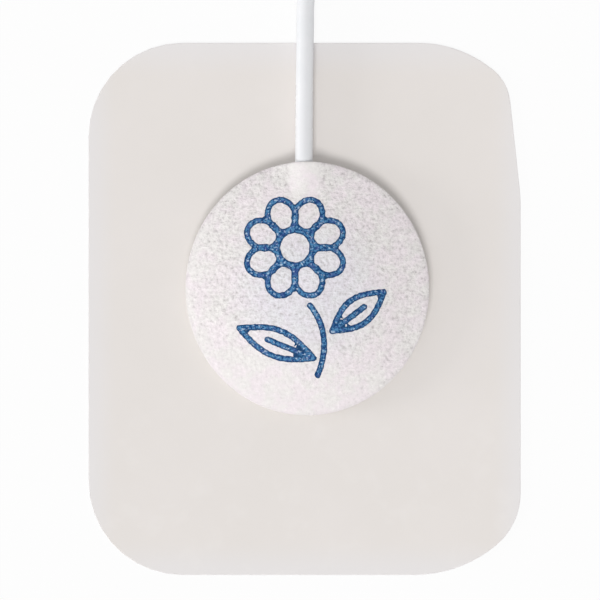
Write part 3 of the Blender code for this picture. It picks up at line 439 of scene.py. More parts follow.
def nonwoven_finish():
    """White nonwoven with a pink cast and a greyer, bluer middle: pale pebbles with painted shade
    in the hollows between them, and painted shade along the rim.
    """
    web = new_finish("white nonwoven")
    pebbles, relief, grain_strength, pulled = web_relief(web)
    cast = web.between(web.noise(1.6 * MM, 2.0), 0.35, 0.65)
    white = web.blend((0.955, 0.880, 0.910), (0.93, 0.902, 0.885), cast)
    pad_oval = {
        "Vector": web.place(),
        "Location": (PAD_X, PAD_Y, 0),
        "Scale": (PAD_HALF_WIDTH, PAD_HALF_LENGTH, 1),
    }
    laid = web.node("Mapping", {"vector_type": "TEXTURE"}, pad_oval)
    share = web.node("VectorMath", {"operation": "LENGTH"}, {0: laid}, "Value")
    # Greyer and bluer over the pad's middle.
    pad_middle = 1 - web.between(share, 0.25, 0.75)
    tinted = web.blend(white, (0.80, 0.82, 0.93), pad_middle * 0.4)
    # Painted shade along the rim: the outermost band of the cover is darkened.
    cut = web.between(share, 0.97, 1.0)
    tinted = web.blend(tinted, (0.60, 0.57, 0.57), cut * 0.22)
    # Painted shade in the grain's hollows: darker where the pebbles' noise is low, deeper where
    # the grain is stronger, lighter where the lead pulls it smooth.
    mean = 0.2 - grain_strength * 0.06 - pulled * 0.09
    height = pebbles - 0.5
    hollow_shade = mean - height * (0.5 + abs(height) * 5) * (0.4 + grain_strength * 1.1)
    shaded = web.blend(tinted, (0.50, 0.465, 0.465), hollow_shade)
    specks = web.between(web.noise(0.21 * MM, 1.0), 0.62, 0.74) * grain_strength
    colour = web.blend(shaded, (0.60, 0.555, 0.56), specks * 0.3)
    return web.surface(
        {
            "Base Color": colour,
            "Roughness": 0.82 + hollow_shade * 0.1,
            "Normal": web.bump(relief, COVER_RELIEF),
            "Specular IOR Level": 0.2,
        }
    )


def ink_finish():
    """Blue ink soaked into the nonwoven: missing on some pebbles, darker at a line's edge."""
    ink = new_finish("blue ink")
    relief = web_relief(ink)[1]
    depth = ink.between(ink.noise(0.24 * MM, 2.0, 0.65), 0.42, 0.58)
    blue = ink.blend((0.006, 0.055, 0.18), (0.09, 0.26, 0.48), depth)
    violet = ink.between(ink.noise(0.5 * MM, 1.0), 0.54, 0.62)
    tinted = ink.blend(blue, (0.05, 0.08, 0.28), violet * 0.55)
    missed = ink.between(ink.noise(0.27 * MM, 2.0, 0.65), 0.575, 0.64)
    patchy = ink.blend(tinted, (0.48, 0.60, 0.74), missed * 0.8)
    edge = ink.node("Attribute", {"attribute_name": "edge_share"}, {}, "Fac")
    dried = ink.between(edge + ink.noise(0.3 * MM) * 0.7, 0.7, 1.15)
    colour = ink.blend(patchy, (0.006, 0.045, 0.13), dried * 0.85)
    return ink.surface(
        {
            "Base Color": colour,
            "Roughness": 0.7 + depth * 0.1,
            "Normal": ink.bump(relief, INK_RELIEF),
            "Specular IOR Level": 0.12,
        }
    )


def foam_finish():
    """White closed-cell foam: its cells cut open on the die-cut wall, with shade painted into the
    open cells.
    """
    foam = new_finish("white foam")
    walls = foam.cells(0.16 * MM)
    pores = 1 - foam.between(walls, 0.18, 0.5)
    # Painted shade: the open cells are darkened.
    colour = foam.blend((0.72, 0.715, 0.70), (0.42, 0.415, 0.40), pores * 0.7)
    height = foam.between(walls, 0.1, 0.55) + foam.noise(0.5 * MM) * 0.6
    return foam.surface(
        {
            "Base Color": colour,
            "Roughness": 0.8 + pores * 0.15,
            "Normal": foam.bump(height, 0.02 * MM),
        }
    )


def gel_finish():
    """Hydrogel: clear, wet and faintly blue, with the scrim's threads showing in it."""
    gel = new_finish("hydrogel")
    thread = gel.stretched((4 * MM, 0.12 * MM, MM)) + gel.stretched((0.12 * MM, 4 * MM, MM))
    scrim = gel.between(thread, 1.05, 1.25)
    colour = gel.blend((0.70, 0.78, 0.80), (0.84, 0.87, 0.88), scrim)
    wet = 0.08 + gel.noise(0.8 * MM) * 0.14
    return gel.surface(
        {
            "Base Color": colour,
            "Roughness": wet,
            "Normal": gel.bump(gel.noise(1.6 * MM), 0.02 * MM),
            "Transmission Weight": 0.35,
            "IOR": 1.38,
        }
    )


def insulation_finish():
    """Smooth white PVC of the lead, with the faint ripple and handling marks of an extrusion."""
    skin = new_finish("white lead insulation")
    marks = skin.between(skin.noise(2.4 * MM, 3.0, 0.6), 0.4, 0.7)
    colour = skin.blend((0.815, 0.819, 0.838), (0.79, 0.80, 0.82), marks)
    dust = skin.between(skin.noise(0.35 * MM, 2.0), 0.62, 0.75)
    return skin.surface(
        {
            "Base Color": colour,
            "Roughness": 0.27 + marks * 0.09 + dust * 0.12,
            "Normal": skin.bump(skin.noise(0.9 * MM, 2.0), 0.004 * MM),
            "Specular IOR Level": 0.14,
        }
    )


def moulding_finish():
    """Satin white PVC moulding with a spark-eroded grain."""
    skin = new_finish("white moulding")
    flow = skin.between(skin.stretched((2 * MM, 7 * MM, 2 * MM)), 0.35, 0.65)
    colour = skin.blend((0.81, 0.82, 0.83), (0.84, 0.845, 0.85), flow)
    grain = skin.noise(0.09 * MM, 2.0, 0.6)
    return skin.surface(
        {
            "Base Color": colour,
            "Roughness": 0.36 + grain * 0.16,
            "Normal": skin.bump(grain, 0.006 * MM),
        }
    )


def tie_finish():
    """White paper covering of the tie: creased across and a little fibrous."""
    paper = new_finish("tie covering")
    creases = paper.stretched((0.25 * MM, 3 * MM, 0.25 * MM))
    pulp = paper.noise(0.12 * MM, 3.0, 0.65)
    soiled = paper.between(paper.noise(1.8 * MM, 2.0), 0.45, 0.7)
    colour = paper.blend((0.83, 0.825, 0.80), (0.75, 0.745, 0.72), soiled)
    return paper.surface(
        {
            "Base Color": colour,
            "Roughness": 0.6 + pulp * 0.15,
            "Normal": paper.bump(creases + pulp * 0.4, 0.03 * MM),
        }
    )


def silver_chloride_finish():
    """Silver and silver-chloride coating: mottled grey, half metal."""
    coat = new_finish("silver chloride")
    mottle = coat.between(coat.noise(0.45 * MM, 4.0, 0.65), 0.35, 0.65)
    colour = coat.blend((0.42, 0.40, 0.39), (0.68, 0.67, 0.65), mottle)
    return coat.surface(
        {
            "Base Color": colour,
            "Roughness": 0.5 - mottle * 0.16,
            "Metallic": 0.45 + mottle * 0.45,
            "Normal": coat.bump(coat.noise(0.14 * MM, 2.0), 0.008 * MM),
        }
    )


def tinned_finish():
    """Tinned stamping: bright metal with drawn streaks and duller patches."""
    tin = new_finish("tinned metal")
    streaks = tin.stretched((0.05 * MM, 1.6 * MM, 0.05 * MM))
    dull = tin.between(tin.noise(0.9 * MM, 3.0), 0.45, 0.7)
    colour = tin.blend((0.72, 0.72, 0.70), (0.58, 0.58, 0.57), dull)
    return tin.surface(
        {
            "Base Color": colour,
            "Roughness": 0.22 + dull * 0.2 + streaks * 0.1,
            "Metallic": 1.0,
            "Normal": tin.bump(streaks, 0.004 * MM),
        }
    )


def strand_finish():
    """Tinned copper strands: copper showing through thin tin."""
    strand = new_finish("tinned copper strands")
    worn = strand.between(strand.noise(0.22 * MM, 2.0), 0.5, 0.66)
    colour = strand.blend((0.74, 0.70, 0.66), (0.80, 0.45, 0.28), worn)
    return strand.surface(
        {
            "Base Color": colour,
            "Roughness": 0.28 + worn * 0.14,
            "Metallic": 1.0,
            "Normal": strand.bump(strand.noise(0.08 * MM), 0.006 * MM),
        }
    )


def gold_finish():
    """Gold plating over turned brass: fine tool rings round its axis."""
    gold = new_finish("gold plating")
    rings = gold.stretched((20 * MM, 0.05 * MM, 20 * MM))
    tarnish = gold.between(gold.noise(1.4 * MM, 3.0), 0.45, 0.7)
    colour = gold.blend((0.86, 0.68, 0.33), (0.74, 0.56, 0.26), tarnish)
    return gold.surface(
        {
            "Base Color": colour,
            "Roughness": 0.2 + tarnish * 0.14,
            "Metallic": 1.0,
            "Normal": gold.bump(rings, 0.004 * MM),
        }
    )


# Meshes


def finished(name, data, finish, slot, *nodes):
    """A piece of the electrode, in place of its plain nodes."""
    data.materials.clear()
    data.materials.append(finish)
    piece = bpy.data.objects.new(name, data)
    bpy.context.scene.collection.objects.link(piece)
    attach(piece, "root")
    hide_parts(*nodes)
    return piece


def mesh_of(bm, name, sharp=35):
    """The bmesh as a smooth mesh with sharp edges past an angle."""
    bmesh.ops.recalc_face_normals(bm, faces=bm.faces)
    data = bpy.data.meshes.new(name)
    bm.to_mesh(data)
    bm.free()
    data.shade_smooth()
    data.set_sharp_from_angle(angle=math.radians(sharp))
    return data


def new_vertices(made):
    return [item for item in made["geom"] if isinstance(item, bmesh.types.BMVert)]


def spun(profile, axis, steps):
    """A ring or disc: a line of points spun fully round an axis through the origin."""
    bm = bmesh.new()
    line = [bm.verts.new(point) for point in profile]
    edges = [bm.edges.new(pair) for pair in zip(line, line[1:])]
    bmesh.ops.spin(
        bm,
        geom=[*line, *edges],
        cent=(0, 0, 0),
        axis=axis,
        angle=2 * math.pi,
        steps=steps,
        use_merge=True,
    )
    bmesh.ops.remove_doubles(bm, verts=bm.verts, dist=WELD)
    return bm


def rounded(corners, steps=6):
    """A closed outline through (x, y, radius) corners, each turned by an arc."""
    points = []
    for index, (x, y, radius) in enumerate(corners):
        here = Vector((x, y))
        if radius == 0:
            points.append((x, y))
            continue
        before = (Vector(corners[index - 1][:2]) - here).normalized()
        after = (Vector(corners[(index + 1) % len(corners)][:2]) - here).normalized()
        half = before.angle(after) / 2
        centre = here + (before + after).normalized() * radius / math.sin(half)
        start = here + before * radius / math.tan(half) - centre
        sweep = start.angle_signed(here + after * radius / math.tan(half) - centre)
        for step in range(steps + 1):
            turn = -sweep * step / steps
            points.append(
                (
                    centre.x + start.x * math.cos(turn) - start.y * math.sin(turn),
                    centre.y + start.x * math.sin(turn) + start.y * math.cos(turn),
                )
            )
    return points


def swept(bm, section, stations, closed):
    """A bar: its section, in (across, up), drawn through (centre, across, up) stations."""

    def put(verts, station):
        centre, across, up = station
        for vert, (side, height) in zip(verts, section):
            vert.co = centre + across * side + up * height

    ring = [bm.verts.new((0, 0, 0)) for _ in section]
    edges = [bm.edges.new((ring[index - 1], ring[index])) for index in range(len(ring))]
    put(ring, stations[0])
    first = (ring, edges)
    for station in stations[1:]:
        drawn = bmesh.ops.extrude_edge_only(bm, edges=edges)["geom"]
        fresh = {item for item in drawn if isinstance(item, bmesh.types.BMVert)}
        ring = [
            next(
                edge.other_vert(vert)
                for edge in vert.link_edges
                if edge.other_vert(vert) in fresh
            )
            for vert in ring
        ]
        edges = [bm.edges.get((ring[index - 1], ring[index])) for index in range(len(ring))]
        put(ring, station)
    if closed:
        bmesh.ops.bridge_loops(bm, edges=[*first[1], *edges])
    else:
        bm.faces.new(first[0])
        bm.faces.new(ring)


# Pad


def pad_share(x, y):
    """0 at the pad's centre, 1 at its rim."""
    return math.hypot((x - PAD_X) / PAD_HALF_WIDTH, (y - PAD_Y) / PAD_HALF_LENGTH)


def over_lead(x, y):
    """1 where the cover is drawn over the lead, 0 away from it."""
    beside = smooth((abs(x - LEAD_X) - TAUT_HALF_WIDTH) / TAUT_FADE)
    return (1 - beside) * smooth((y - STRIP_Y + TAUT_RUN_IN) / TAUT_RUN_FADE)


def rim_roll(x, y):
    """0 inside, rising along a quarter of an oval to 1 at the rim."""
    inset = max(0.0, 1 - pad_share(x, y)) * PAD_HALF_WIDTH
    short = max(0.0, 1 - inset / RIM_ROLL_WIDTH)
    return 1 - math.sqrt(1 - short**2)


def cover_under(x, y):
    """The cover's underside: a low dome, rolled down at its rim, with the ridge over the lead."""
    dome = DOME_RISE * max(0.0, 1 - pad_share(x, y) ** 2) ** DOME_POWER
    across = min(1.0, abs(x - LEAD_X) / RIDGE_HALF_WIDTH)
    along = smooth((y - STRIP_Y) / RIDGE_FADE + 1)
    ridge = RIDGE_RISE * math.cos(across * math.pi / 2) ** 2 * along
    rise = (dome**RIDGE_BLEND + ridge**RIDGE_BLEND) ** (1 / RIDGE_BLEND)
    return COVER_RIM_Z + rise - RIM_ROLL_UNDER * rim_roll(x, y) * (1 - over_lead(x, y))


def cover_top(x, y):
    """The cover's printed face, with its pebbles and puckers, pressed thinner at its rim."""
    inset = max(0.0, 1 - pad_share(x, y)) * PAD_HALF_WIDTH
    roll = (RIM_ROLL_TOP - RIM_ROLL_UNDER) * rim_roll(x, y)
    grain_strength = 1 - TAUT_EVENNESS * over_lead(x, y)
    place = Vector((x, y, 0))
    pebble = PEBBLE_RISE * noise.noise(place / PEBBLE_SIZE)
    pucker = PUCKER_RISE * noise.noise(place / PUCKER_SIZE) * smooth(inset / PUCKER_SIZE)
    return cover_under(x, y) + COVER_THICKNESS + (pebble + pucker) * grain_strength - roll


def on_pad(vert):
    """Lays a point of the square from -1 to 1 on the pad's oval, closer towards the rim."""
    u, v = vert.co.x, vert.co.y
    flat = Vector((u * math.sqrt(1 - v * v / 2), v * math.sqrt(1 - u * u / 2)))
    quarter = RIM_CROWDING * math.pi / 2
    if flat.length > 0:
        flat *= math.sin(min(1.0, flat.length) * quarter) / math.sin(quarter) / flat.length
    vert.co.x = PAD_X + flat.x * PAD_HALF_WIDTH
    vert.co.y = PAD_Y + flat.y * PAD_HALF_LENGTH


def cover_face():
    """The cover's printed face as an open sheet."""
    bm = bmesh.new()
    bmesh.ops.create_grid(bm, x_segments=COVER_CELLS, y_segments=COVER_CELLS, size=1.0)
    for vert in bm.verts:
        on_pad(vert)
        vert.co.z = cover_top(vert.co.x, vert.co.y)
    return bm


def make_cover(finish):
    """The nonwoven cover: its printed face, closed by an underside that is bonded to the foam."""
    bm = cover_face()
    for vert in new_vertices(bmesh.ops.extrude_face_region(bm, geom=bm.faces[:])):
        vert.co.z = cover_under(vert.co.x, vert.co.y)
    data = mesh_of(bm, "cover_sheet", sharp=60)
    cover = finished("cover_sheet", data, finish, "cover", "cover_disc")


def foam_top(x, y):
    """The foam's upper face, with the groove that the lead leaves through."""
    top = cover_under(x, y) - GLUE_LINE
    groove = LEAD_RADIUS + LEAD_CLEARANCE
    off = abs(x - LEAD_X)
    if y < PAD_Y or off >= groove:
        return top
    return min(top, LEAD_PAD_Z - math.sqrt(groove**2 - off**2))


def make_foam(finish):
    """The foam ring, its die-cut wall drawn in at both edges and pitted with cells."""
    width = 1 - GEL_HOLE_SHARE
    shares = [GEL_HOLE_SHARE + width * ring / FOAM_RINGS for ring in range(FOAM_RINGS + 1)]
    bm = spun([(share, 0, 0) for share in shares], (0, 0, 1), FOAM_STEPS)
    for vert in bm.verts:
        share = math.hypot(vert.co.x, vert.co.y)
        turn = math.atan2(vert.co.x, vert.co.y)
        turn -= FOAM_CROWDING * math.sin(turn)
        vert.co.x = PAD_X + share * math.sin(turn) * PAD_HALF_WIDTH
        vert.co.y = PAD_Y + share * math.cos(turn) * PAD_HALF_LENGTH
        vert.co.z = FOAM_BASE_Z
    upper = new_vertices(bmesh.ops.extrude_face_region(bm, geom=bm.faces[:]))
    for vert in upper:
        vert.co.z = foam_top(vert.co.x, vert.co.y)
    raised = set(upper)
    wall = [
        edge
        for edge in bm.edges
        if (edge.verts[0] in raised) != (edge.verts[1] in raised)
        and pad_share(*edge.verts[0].co.xy) > FOAM_RIM_SHARE
    ]
    bmesh.ops.subdivide_edges(bm, edges=wall, cuts=FOAM_WALL_CUTS, use_grid_fill=True)
    centre = Vector((PAD_X, PAD_Y, 0))
    for vert in bm.verts:
        if pad_share(*vert.co.xy) < FOAM_RIM_SHARE:
            continue
        top = foam_top(*vert.co.xy)
        height = (vert.co.z - FOAM_BASE_Z) / (top - FOAM_BASE_Z)
        pit = FOAM_CELL_RISE * (1 + noise.noise(vert.co / FOAM_CELL_SIZE))
        inset = FOAM_EDGE_ROUND * (2 * height - 1) ** FOAM_EDGE_POWER + pit
        out = (vert.co - centre).xy.normalized()
        vert.co.x -= out.x * inset
        vert.co.y -= out.y * inset
    data = mesh_of(bm, "foam_ring", sharp=50)
    foam = finished("foam_ring", data, finish, "foam", "foam_base")


def make_gel(finish):
    """The gel disc, rounded at its edges where it meets the foam."""
    low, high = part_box("gel_pad")
    middle = (low + high) / 2
    half = (high - low) / 2
    rise = high.z - low.z
    turn = GEL_ROUND / half.x
    outline = rounded(((1, 0, turn), (1, 1, turn), (0, 1, 0), (0, 0, 0)))
    section = [point for point in outline if point[0] > 0 or point[1] in (0, 1)]
    profile = [(0, 0, 0), *[(x, 0, z) for x, z in section if x > 0], (0, 0, 1)]
    bm = spun(profile, (0, 0, 1), TURNED_STEPS)
    for vert in bm.verts:
        vert.co.x = middle.x + vert.co.x * half.x
        vert.co.y = middle.y + vert.co.y * half.y
        vert.co.z = low.z + vert.co.z * rise
    gel = finished("gel_disc", mesh_of(bm, "gel_disc"), finish, "gel", "gel_pad")


# Print


def oval(centre, half_length, half_width, angle):
    """A closed oval line whose long way lies at the angle."""
    along = Vector((math.cos(angle), math.sin(angle)))
    side = Vector((-along.y, along.x))
    steps = round(2 * math.pi * half_length / INK_SPACING)
    turns = [2 * math.pi * step / steps for step in range(steps)]
    return [
        Vector(centre) + along * half_length * math.cos(turn) + side * half_width * math.sin(turn)
        for turn in turns
    ]


def bent_line(start, bend, end):
    """The line from start to end that a bend point pulls aside."""
    first, pull, last = Vector(start), Vector(bend), Vector(end)
    steps = round((last - first).length / INK_SPACING)
    shares = [step / steps for step in range(steps + 1)]
    return [first.lerp(pull, share).lerp(pull.lerp(last, share), share) for share in shares]


def leaf_lines(base, tip):
    """A pointed leaf's two edges and its rib."""
    start, end = Vector(base), Vector(tip)
    along = end - start
    side = Vector((-along.y, along.x)).normalized() * LEAF_HALF_WIDTH
    steps = round(along.length / INK_SPACING)
    shares = [step / steps for step in range(steps + 1)]
    lines = [start + along * share * LEAF_RIB_SHARE for share in shares]
    for edge in (side, -side):
        lines += [start + along * share + edge * math.sin(math.pi * share) for share in shares]
    return lines


def flower_head_lines():
    centre = Vector(FLOWER_CENTRE)
    lines = oval(centre, FLOWER_CENTRE_RADIUS, FLOWER_CENTRE_RADIUS, 0)
    for petal in range(PETAL_COUNT):
        angle = 2 * math.pi * (petal + 0.5) / PETAL_COUNT
        reach = Vector((math.cos(angle), math.sin(angle))) * PETAL_REACH
        lines += oval(centre + reach, PETAL_HALF_LENGTH, PETAL_HALF_WIDTH, angle)
    return lines


def make_ink(name, node, lines, finish):
    """Ink on the cover's face: what lies within a ragged half width of the drawn lines."""
    tree = kdtree.KDTree(len(lines))
    for index, point in enumerate(lines):
        tree.insert((PAD_X + point.x, PAD_Y + point.y, 0), index)
    tree.balance()
    bm = cover_face()
    edge_share = bm.verts.layers.float.new("edge_share")
    reach = {}
    for vert in bm.verts:
        flat = Vector((vert.co.x, vert.co.y, 0))
        nearest, _, distance = tree.find(flat)
        rag = INK_RAG * noise.noise(flat / INK_RAG_SIZE)
        reach[vert] = (nearest, distance, INK_WIDTH / 2 + rag)
    outside = [
        face for face in bm.faces if all(reach[vert][1] > reach[vert][2] for vert in face.verts)
    ]
    bmesh.ops.delete(bm, geom=outside, context="FACES")
    for vert in bm.verts:
        nearest, distance, limit = reach[vert]
        vert[edge_share] = min(1.0, distance / limit)
        if distance > limit:
            pulled = nearest + (Vector((vert.co.x, vert.co.y, 0)) - nearest) * limit / distance
            vert.co.x, vert.co.y = pulled.x, pulled.y
        vert.co.z = cover_top(vert.co.x, vert.co.y) + INK_LIFT
    lower = new_vertices(bmesh.ops.extrude_face_region(bm, geom=bm.faces[:]))
    bmesh.ops.translate(bm, verts=lower, vec=(0, 0, -INK_FILM))
    finished(name, mesh_of(bm, name, sharp=60), finish, "ink", node)


# Liner


def make_liner(finish):
    """The liner, its cut edge softened, with a narrow band that keeps the sheet's face flat."""
    bm = bmesh.new()
    bm.from_mesh(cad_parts["release_liner"].data)
    bmesh.ops.remove_doubles(bm, verts=bm.verts, dist=WELD)
    bmesh.ops.dissolve_limit(bm, angle_limit=math.radians(0.1), verts=bm.verts, edges=bm.edges)
    flat = [face for face in bm.faces if abs(face.normal.z) > 0.9]
    rim = {edge for face in flat for edge in face.edges}
    bmesh.ops.bevel(
        bm,
        geom=list(rim),
        offset=LINER_EDGE_ROUND,
        offset_type="OFFSET",
        segments=3,
        profile=0.5,
        affect="EDGES",
        material=-1,
    )
    flat = [face for face in bm.faces if abs(face.normal.z) > 0.999]
    bmesh.ops.inset_individual(bm, faces=flat, thickness=LINER_EDGE_BAND, use_even_offset=True)
    finished("liner_film", mesh_of(bm, "liner_film"), finish, "liner", "release_liner")


# Lead


def coil_place(turn, angle):
    """The lead's radius and height in a turn: inwards below, then up, then outwards on top."""
    crossing = ((angle + COIL_SHIFT) % 360) / COIL_SHIFT
    step = smooth(crossing % 1) if crossing < 2 else 0.0
    nested = math.sqrt(LEAD_DIAMETER**2 - (LEAD_RADIUS - LEAD_DIAMETER * step) ** 2)
    lift = TIE_LIFT * smooth((TIE_LIFT_SPAN - abs(angle - TIE_ANGLE)) / TIE_LIFT_FADE)
    if turn < COIL_BOTTOM_TURNS - 1:
        shift = smooth((angle + COIL_SHIFT - 360) / COIL_SHIFT)
        return COIL_OUTER_TURN - LEAD_DIAMETER * (turn + shift), lift
    if turn == COIL_BOTTOM_TURNS - 1:
        climb = smooth((angle - COIL_SHIFT) / COIL_SHIFT)
        tilt = math.radians(180 - COIL_CLIMB * climb)
        neighbour = COIL_OUTER_TURN - LEAD_DIAMETER * (turn - 1)
        height = LEAD_DIAMETER * math.sin(tilt) if climb < 1 else nested
        return neighbour + LEAD_DIAMETER * math.cos(tilt), lift + height
    inner = COIL_OUTER_TURN - LEAD_DIAMETER * (COIL_BOTTOM_TURNS - 1.5)
    shift = turn - COIL_BOTTOM_TURNS + smooth(angle / COIL_SHIFT)
    return inner + LEAD_DIAMETER * shift, lift + nested


def coil_route():
    """The coil's points, turn after turn."""
    points = []
    for count in range(COIL_TURNS * COIL_POINTS + 1):
        turn = min(count // COIL_POINTS, COIL_TURNS - 1)
        angle = 360 * (count / COIL_POINTS - turn)
        radius, height = coil_place(turn, angle)
        way = math.radians(angle)
        points.append(
            (
                COIL_X + radius * math.cos(way),
                COIL_Y + radius * math.sin(way),
                LEAD_FLOOR_Z + height,
            )
        )
    return points


def make_lead(finish):
    """The whole lead from the pad's crimp to the connector's seat, as one smooth curve."""
    route = [*LEAD_ROUTE, *coil_route(), *TAIL_ROUTE]
    curve = bpy.data.curves.new("lead", "CURVE")
    curve.dimensions = "3D"
    curve.use_fill_caps = True
    curve.bevel_depth = LEAD_RADIUS
    curve.bevel_resolution = LEAD_ROUNDNESS
    curve.resolution_u = LEAD_CURVE_STEPS
    spline = curve.splines.new("BEZIER")
    spline.bezier_points.add(len(route) - 1)
    for point, place in zip(spline.bezier_points, route):
        point.co = place
        point.handle_left_type = "AUTO"
        point.handle_right_type = "AUTO"
    lead = finished("lead", curve, finish, "insulation", "lead_wire", "lead_coil", "lead_tail")


def make_tie(finish):
    """A twist tie: a strip with a wire in it, wound round the coil, its ends twisted together."""
    low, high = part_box("coil_tie")
    inner_x = high.x - TIE_TAIL_LENGTH
    thick = TIE_THICKNESS
    whole = thick + TIE_WIRE_RISE
    path = rounded(
        (
            (low.x + whole, high.z - whole, TIE_CORNER),
            (inner_x, high.z - whole, TIE_CORNER),
            (inner_x, low.z + whole, TIE_CORNER),
            (low.x + whole, low.z + whole, TIE_CORNER),
        )
    )
    half = TIE_WIDTH / 2
    rise = TIE_WIRE_RISE
    strip = rounded(
        (
            (-half, 0, TIE_EDGE_ROUND),
            (half, 0, TIE_EDGE_ROUND),
            (half, thick, TIE_EDGE_ROUND),
            (TIE_WIRE_FOOT * rise, thick, TIE_WIRE_ROUND),
            (TIE_WIRE_CREST * rise, thick + rise, TIE_WIRE_ROUND),
            (-TIE_WIRE_CREST * rise, thick + rise, TIE_WIRE_ROUND),
            (-TIE_WIRE_FOOT * rise, thick, TIE_WIRE_ROUND),
            (-half, thick, TIE_EDGE_ROUND),
        ),
        TIE_ROUND_STEPS,
    )
    centre = Vector(((low.x + inner_x) / 2, COIL_Y, (low.z + high.z) / 2))
    stations = []
    for index, (x, z) in enumerate(path):
        before = Vector((path[index - 1][0], 0, path[index - 1][1]))
        after_x, after_z = path[(index + 1) % len(path)]
        along = (Vector((after_x, 0, after_z)) - before).normalized()
        across = Vector((0, 1, 0))
        up = along.cross(across)
        place = Vector((x, COIL_Y, z))
        if up.dot(place - centre) < 0:
            up.negate()
        stations.append((place, across, up))
    bm = bmesh.new()
    swept(bm, strip, stations, True)
    tail = Vector((inner_x, COIL_Y, centre.z))
    half_tail = TIE_TAIL_WIDTH / 2
    ribbon = rounded(
        (
            (-half_tail, TIE_TAIL_INNER, TIE_EDGE_ROUND),
            (half_tail, TIE_TAIL_INNER, TIE_EDGE_ROUND),
            (half_tail, TIE_TAIL_OUTER, TIE_EDGE_ROUND),
            (0, TIE_TAIL_CREST, TIE_TAIL_CREST_ROUND),
            (-half_tail, TIE_TAIL_OUTER, TIE_EDGE_ROUND),
        ),
        TIE_ROUND_STEPS,
    )
    for start in (0, math.pi):
        stations = []
        for step in range(TIE_TAIL_STEPS + 1):
            share = step / TIE_TAIL_STEPS
            turn = start + 2 * math.pi * TIE_TAIL_TURNS * share
            across = Vector((0, math.cos(turn), math.sin(turn)))
            up = Vector((0, -math.sin(turn), math.cos(turn)))
            stations.append((tail + Vector((TIE_TAIL_LENGTH * share, 0, 0)), across, up))
        swept(bm, ribbon, stations, False)
    finished("twist_tie", mesh_of(bm, "twist_tie", sharp=50), finish, "tie", "coil_tie")


# Connector


def turned_along_y(name, outline, seam):
    """A piece turned about the connector's axis from a closed (radius, y) outline.

    A mould seam stands out on both sides of its outer faces.
    """
    bm = spun([(radius, y, 0) for radius, y in [*outline, outline[0]]], (0, 1, 0), TURNED_STEPS)
    for vert in bm.verts:
        radius = math.hypot(vert.co.x, vert.co.z)
        if seam and radius > CONTACT_BORE + SEAM_CLEAR_OF_BORE and abs(vert.co.z) < WELD:
            vert.co.x += math.copysign(seam, vert.co.x)
        vert.co.x += CONNECTOR_X
        vert.co.z += CONNECTOR_Z
    return mesh_of(bm, name)


def make_connector(finish):
    """The touch-proof connector: a plain nose, a ribbed grip and a tapered rear, bored through."""
    grip = GRIP_RADIUS
    middle = (SHOULDER_Y + CONNECTOR_REAR_Y - GRIP_TAPER_LENGTH) / 2
    corners = [
        (CONTACT_BORE, CONNECTOR_FRONT_Y, EDGE_ROUND),
        (NOSE_RADIUS, CONNECTOR_FRONT_Y, NOSE_ROUND),
        (NOSE_RADIUS, SHOULDER_Y, EDGE_ROUND),
        (grip, SHOULDER_Y, SHOULDER_ROUND),
    ]
    for rib in range(GRIP_RIB_COUNT):
        here = middle + GRIP_RIB_PITCH * (rib - (GRIP_RIB_COUNT - 1) / 2)
        half = GRIP_RIB_WIDTH / 2
        corners += [
            (grip, here - half, EDGE_ROUND),
            (grip + GRIP_RIB_HEIGHT, here - half / 2, EDGE_ROUND),
            (grip + GRIP_RIB_HEIGHT, here + half / 2, EDGE_ROUND),
            (grip, here + half, EDGE_ROUND),
        ]
    corners += [
        (grip, CONNECTOR_REAR_Y - GRIP_TAPER_LENGTH, TAPER_ROUND),
        (GRIP_REAR_RADIUS, CONNECTOR_REAR_Y, GRIP_REAR_ROUND),
        (LEAD_BORE, CONNECTOR_REAR_Y, 0),
        (LEAD_BORE, LEAD_SEAT_Y, 0),
        (CONTACT_BORE, LEAD_SEAT_Y, 0),
    ]
    outline = rounded(corners, CONNECTOR_ROUND_STEPS)
    data = turned_along_y("connector_shell", outline, MOULD_SEAM)
    finished("connector_shell", data, finish, "moulding", "connector_body")


def make_relief(finish):
    """The bend relief: a soft taper with bend grooves."""

    def taper(y):
        share = (y - RELIEF_FRONT_Y) / (RELIEF_REAR_Y - RELIEF_FRONT_Y)
        return RELIEF_FRONT_RADIUS + (RELIEF_REAR_RADIUS - RELIEF_FRONT_RADIUS) * share

    corners = [(LEAD_BORE, RELIEF_FRONT_Y, 0), (taper(RELIEF_FRONT_Y), RELIEF_FRONT_Y, EDGE_ROUND)]
    for groove in range(RELIEF_GROOVES):
        front = RELIEF_FRONT_Y + RELIEF_GROOVE_START + RELIEF_GROOVE_PITCH * groove
        rear = front + RELIEF_GROOVE_WIDTH
        depth, slope = RELIEF_GROOVE_DEPTH, RELIEF_GROOVE_SLOPE
        corners += [
            (taper(front), front, RELIEF_LIP_ROUND),
            (taper(front) - depth, front + slope, RELIEF_FLOOR_ROUND),
            (taper(rear) - depth, rear - slope, RELIEF_FLOOR_ROUND),
            (taper(rear), rear, RELIEF_LIP_ROUND),
        ]
    corners += [
        (taper(RELIEF_REAR_Y), RELIEF_REAR_Y, RELIEF_REAR_ROUND),
        (LEAD_BORE, RELIEF_REAR_Y, 0),
    ]
    data = turned_along_y("bend_relief", rounded(corners, RELIEF_ROUND_STEPS), 0.0)
    finished("bend_relief", data, finish, "moulding", "strain_relief")


# Floor, light and camera


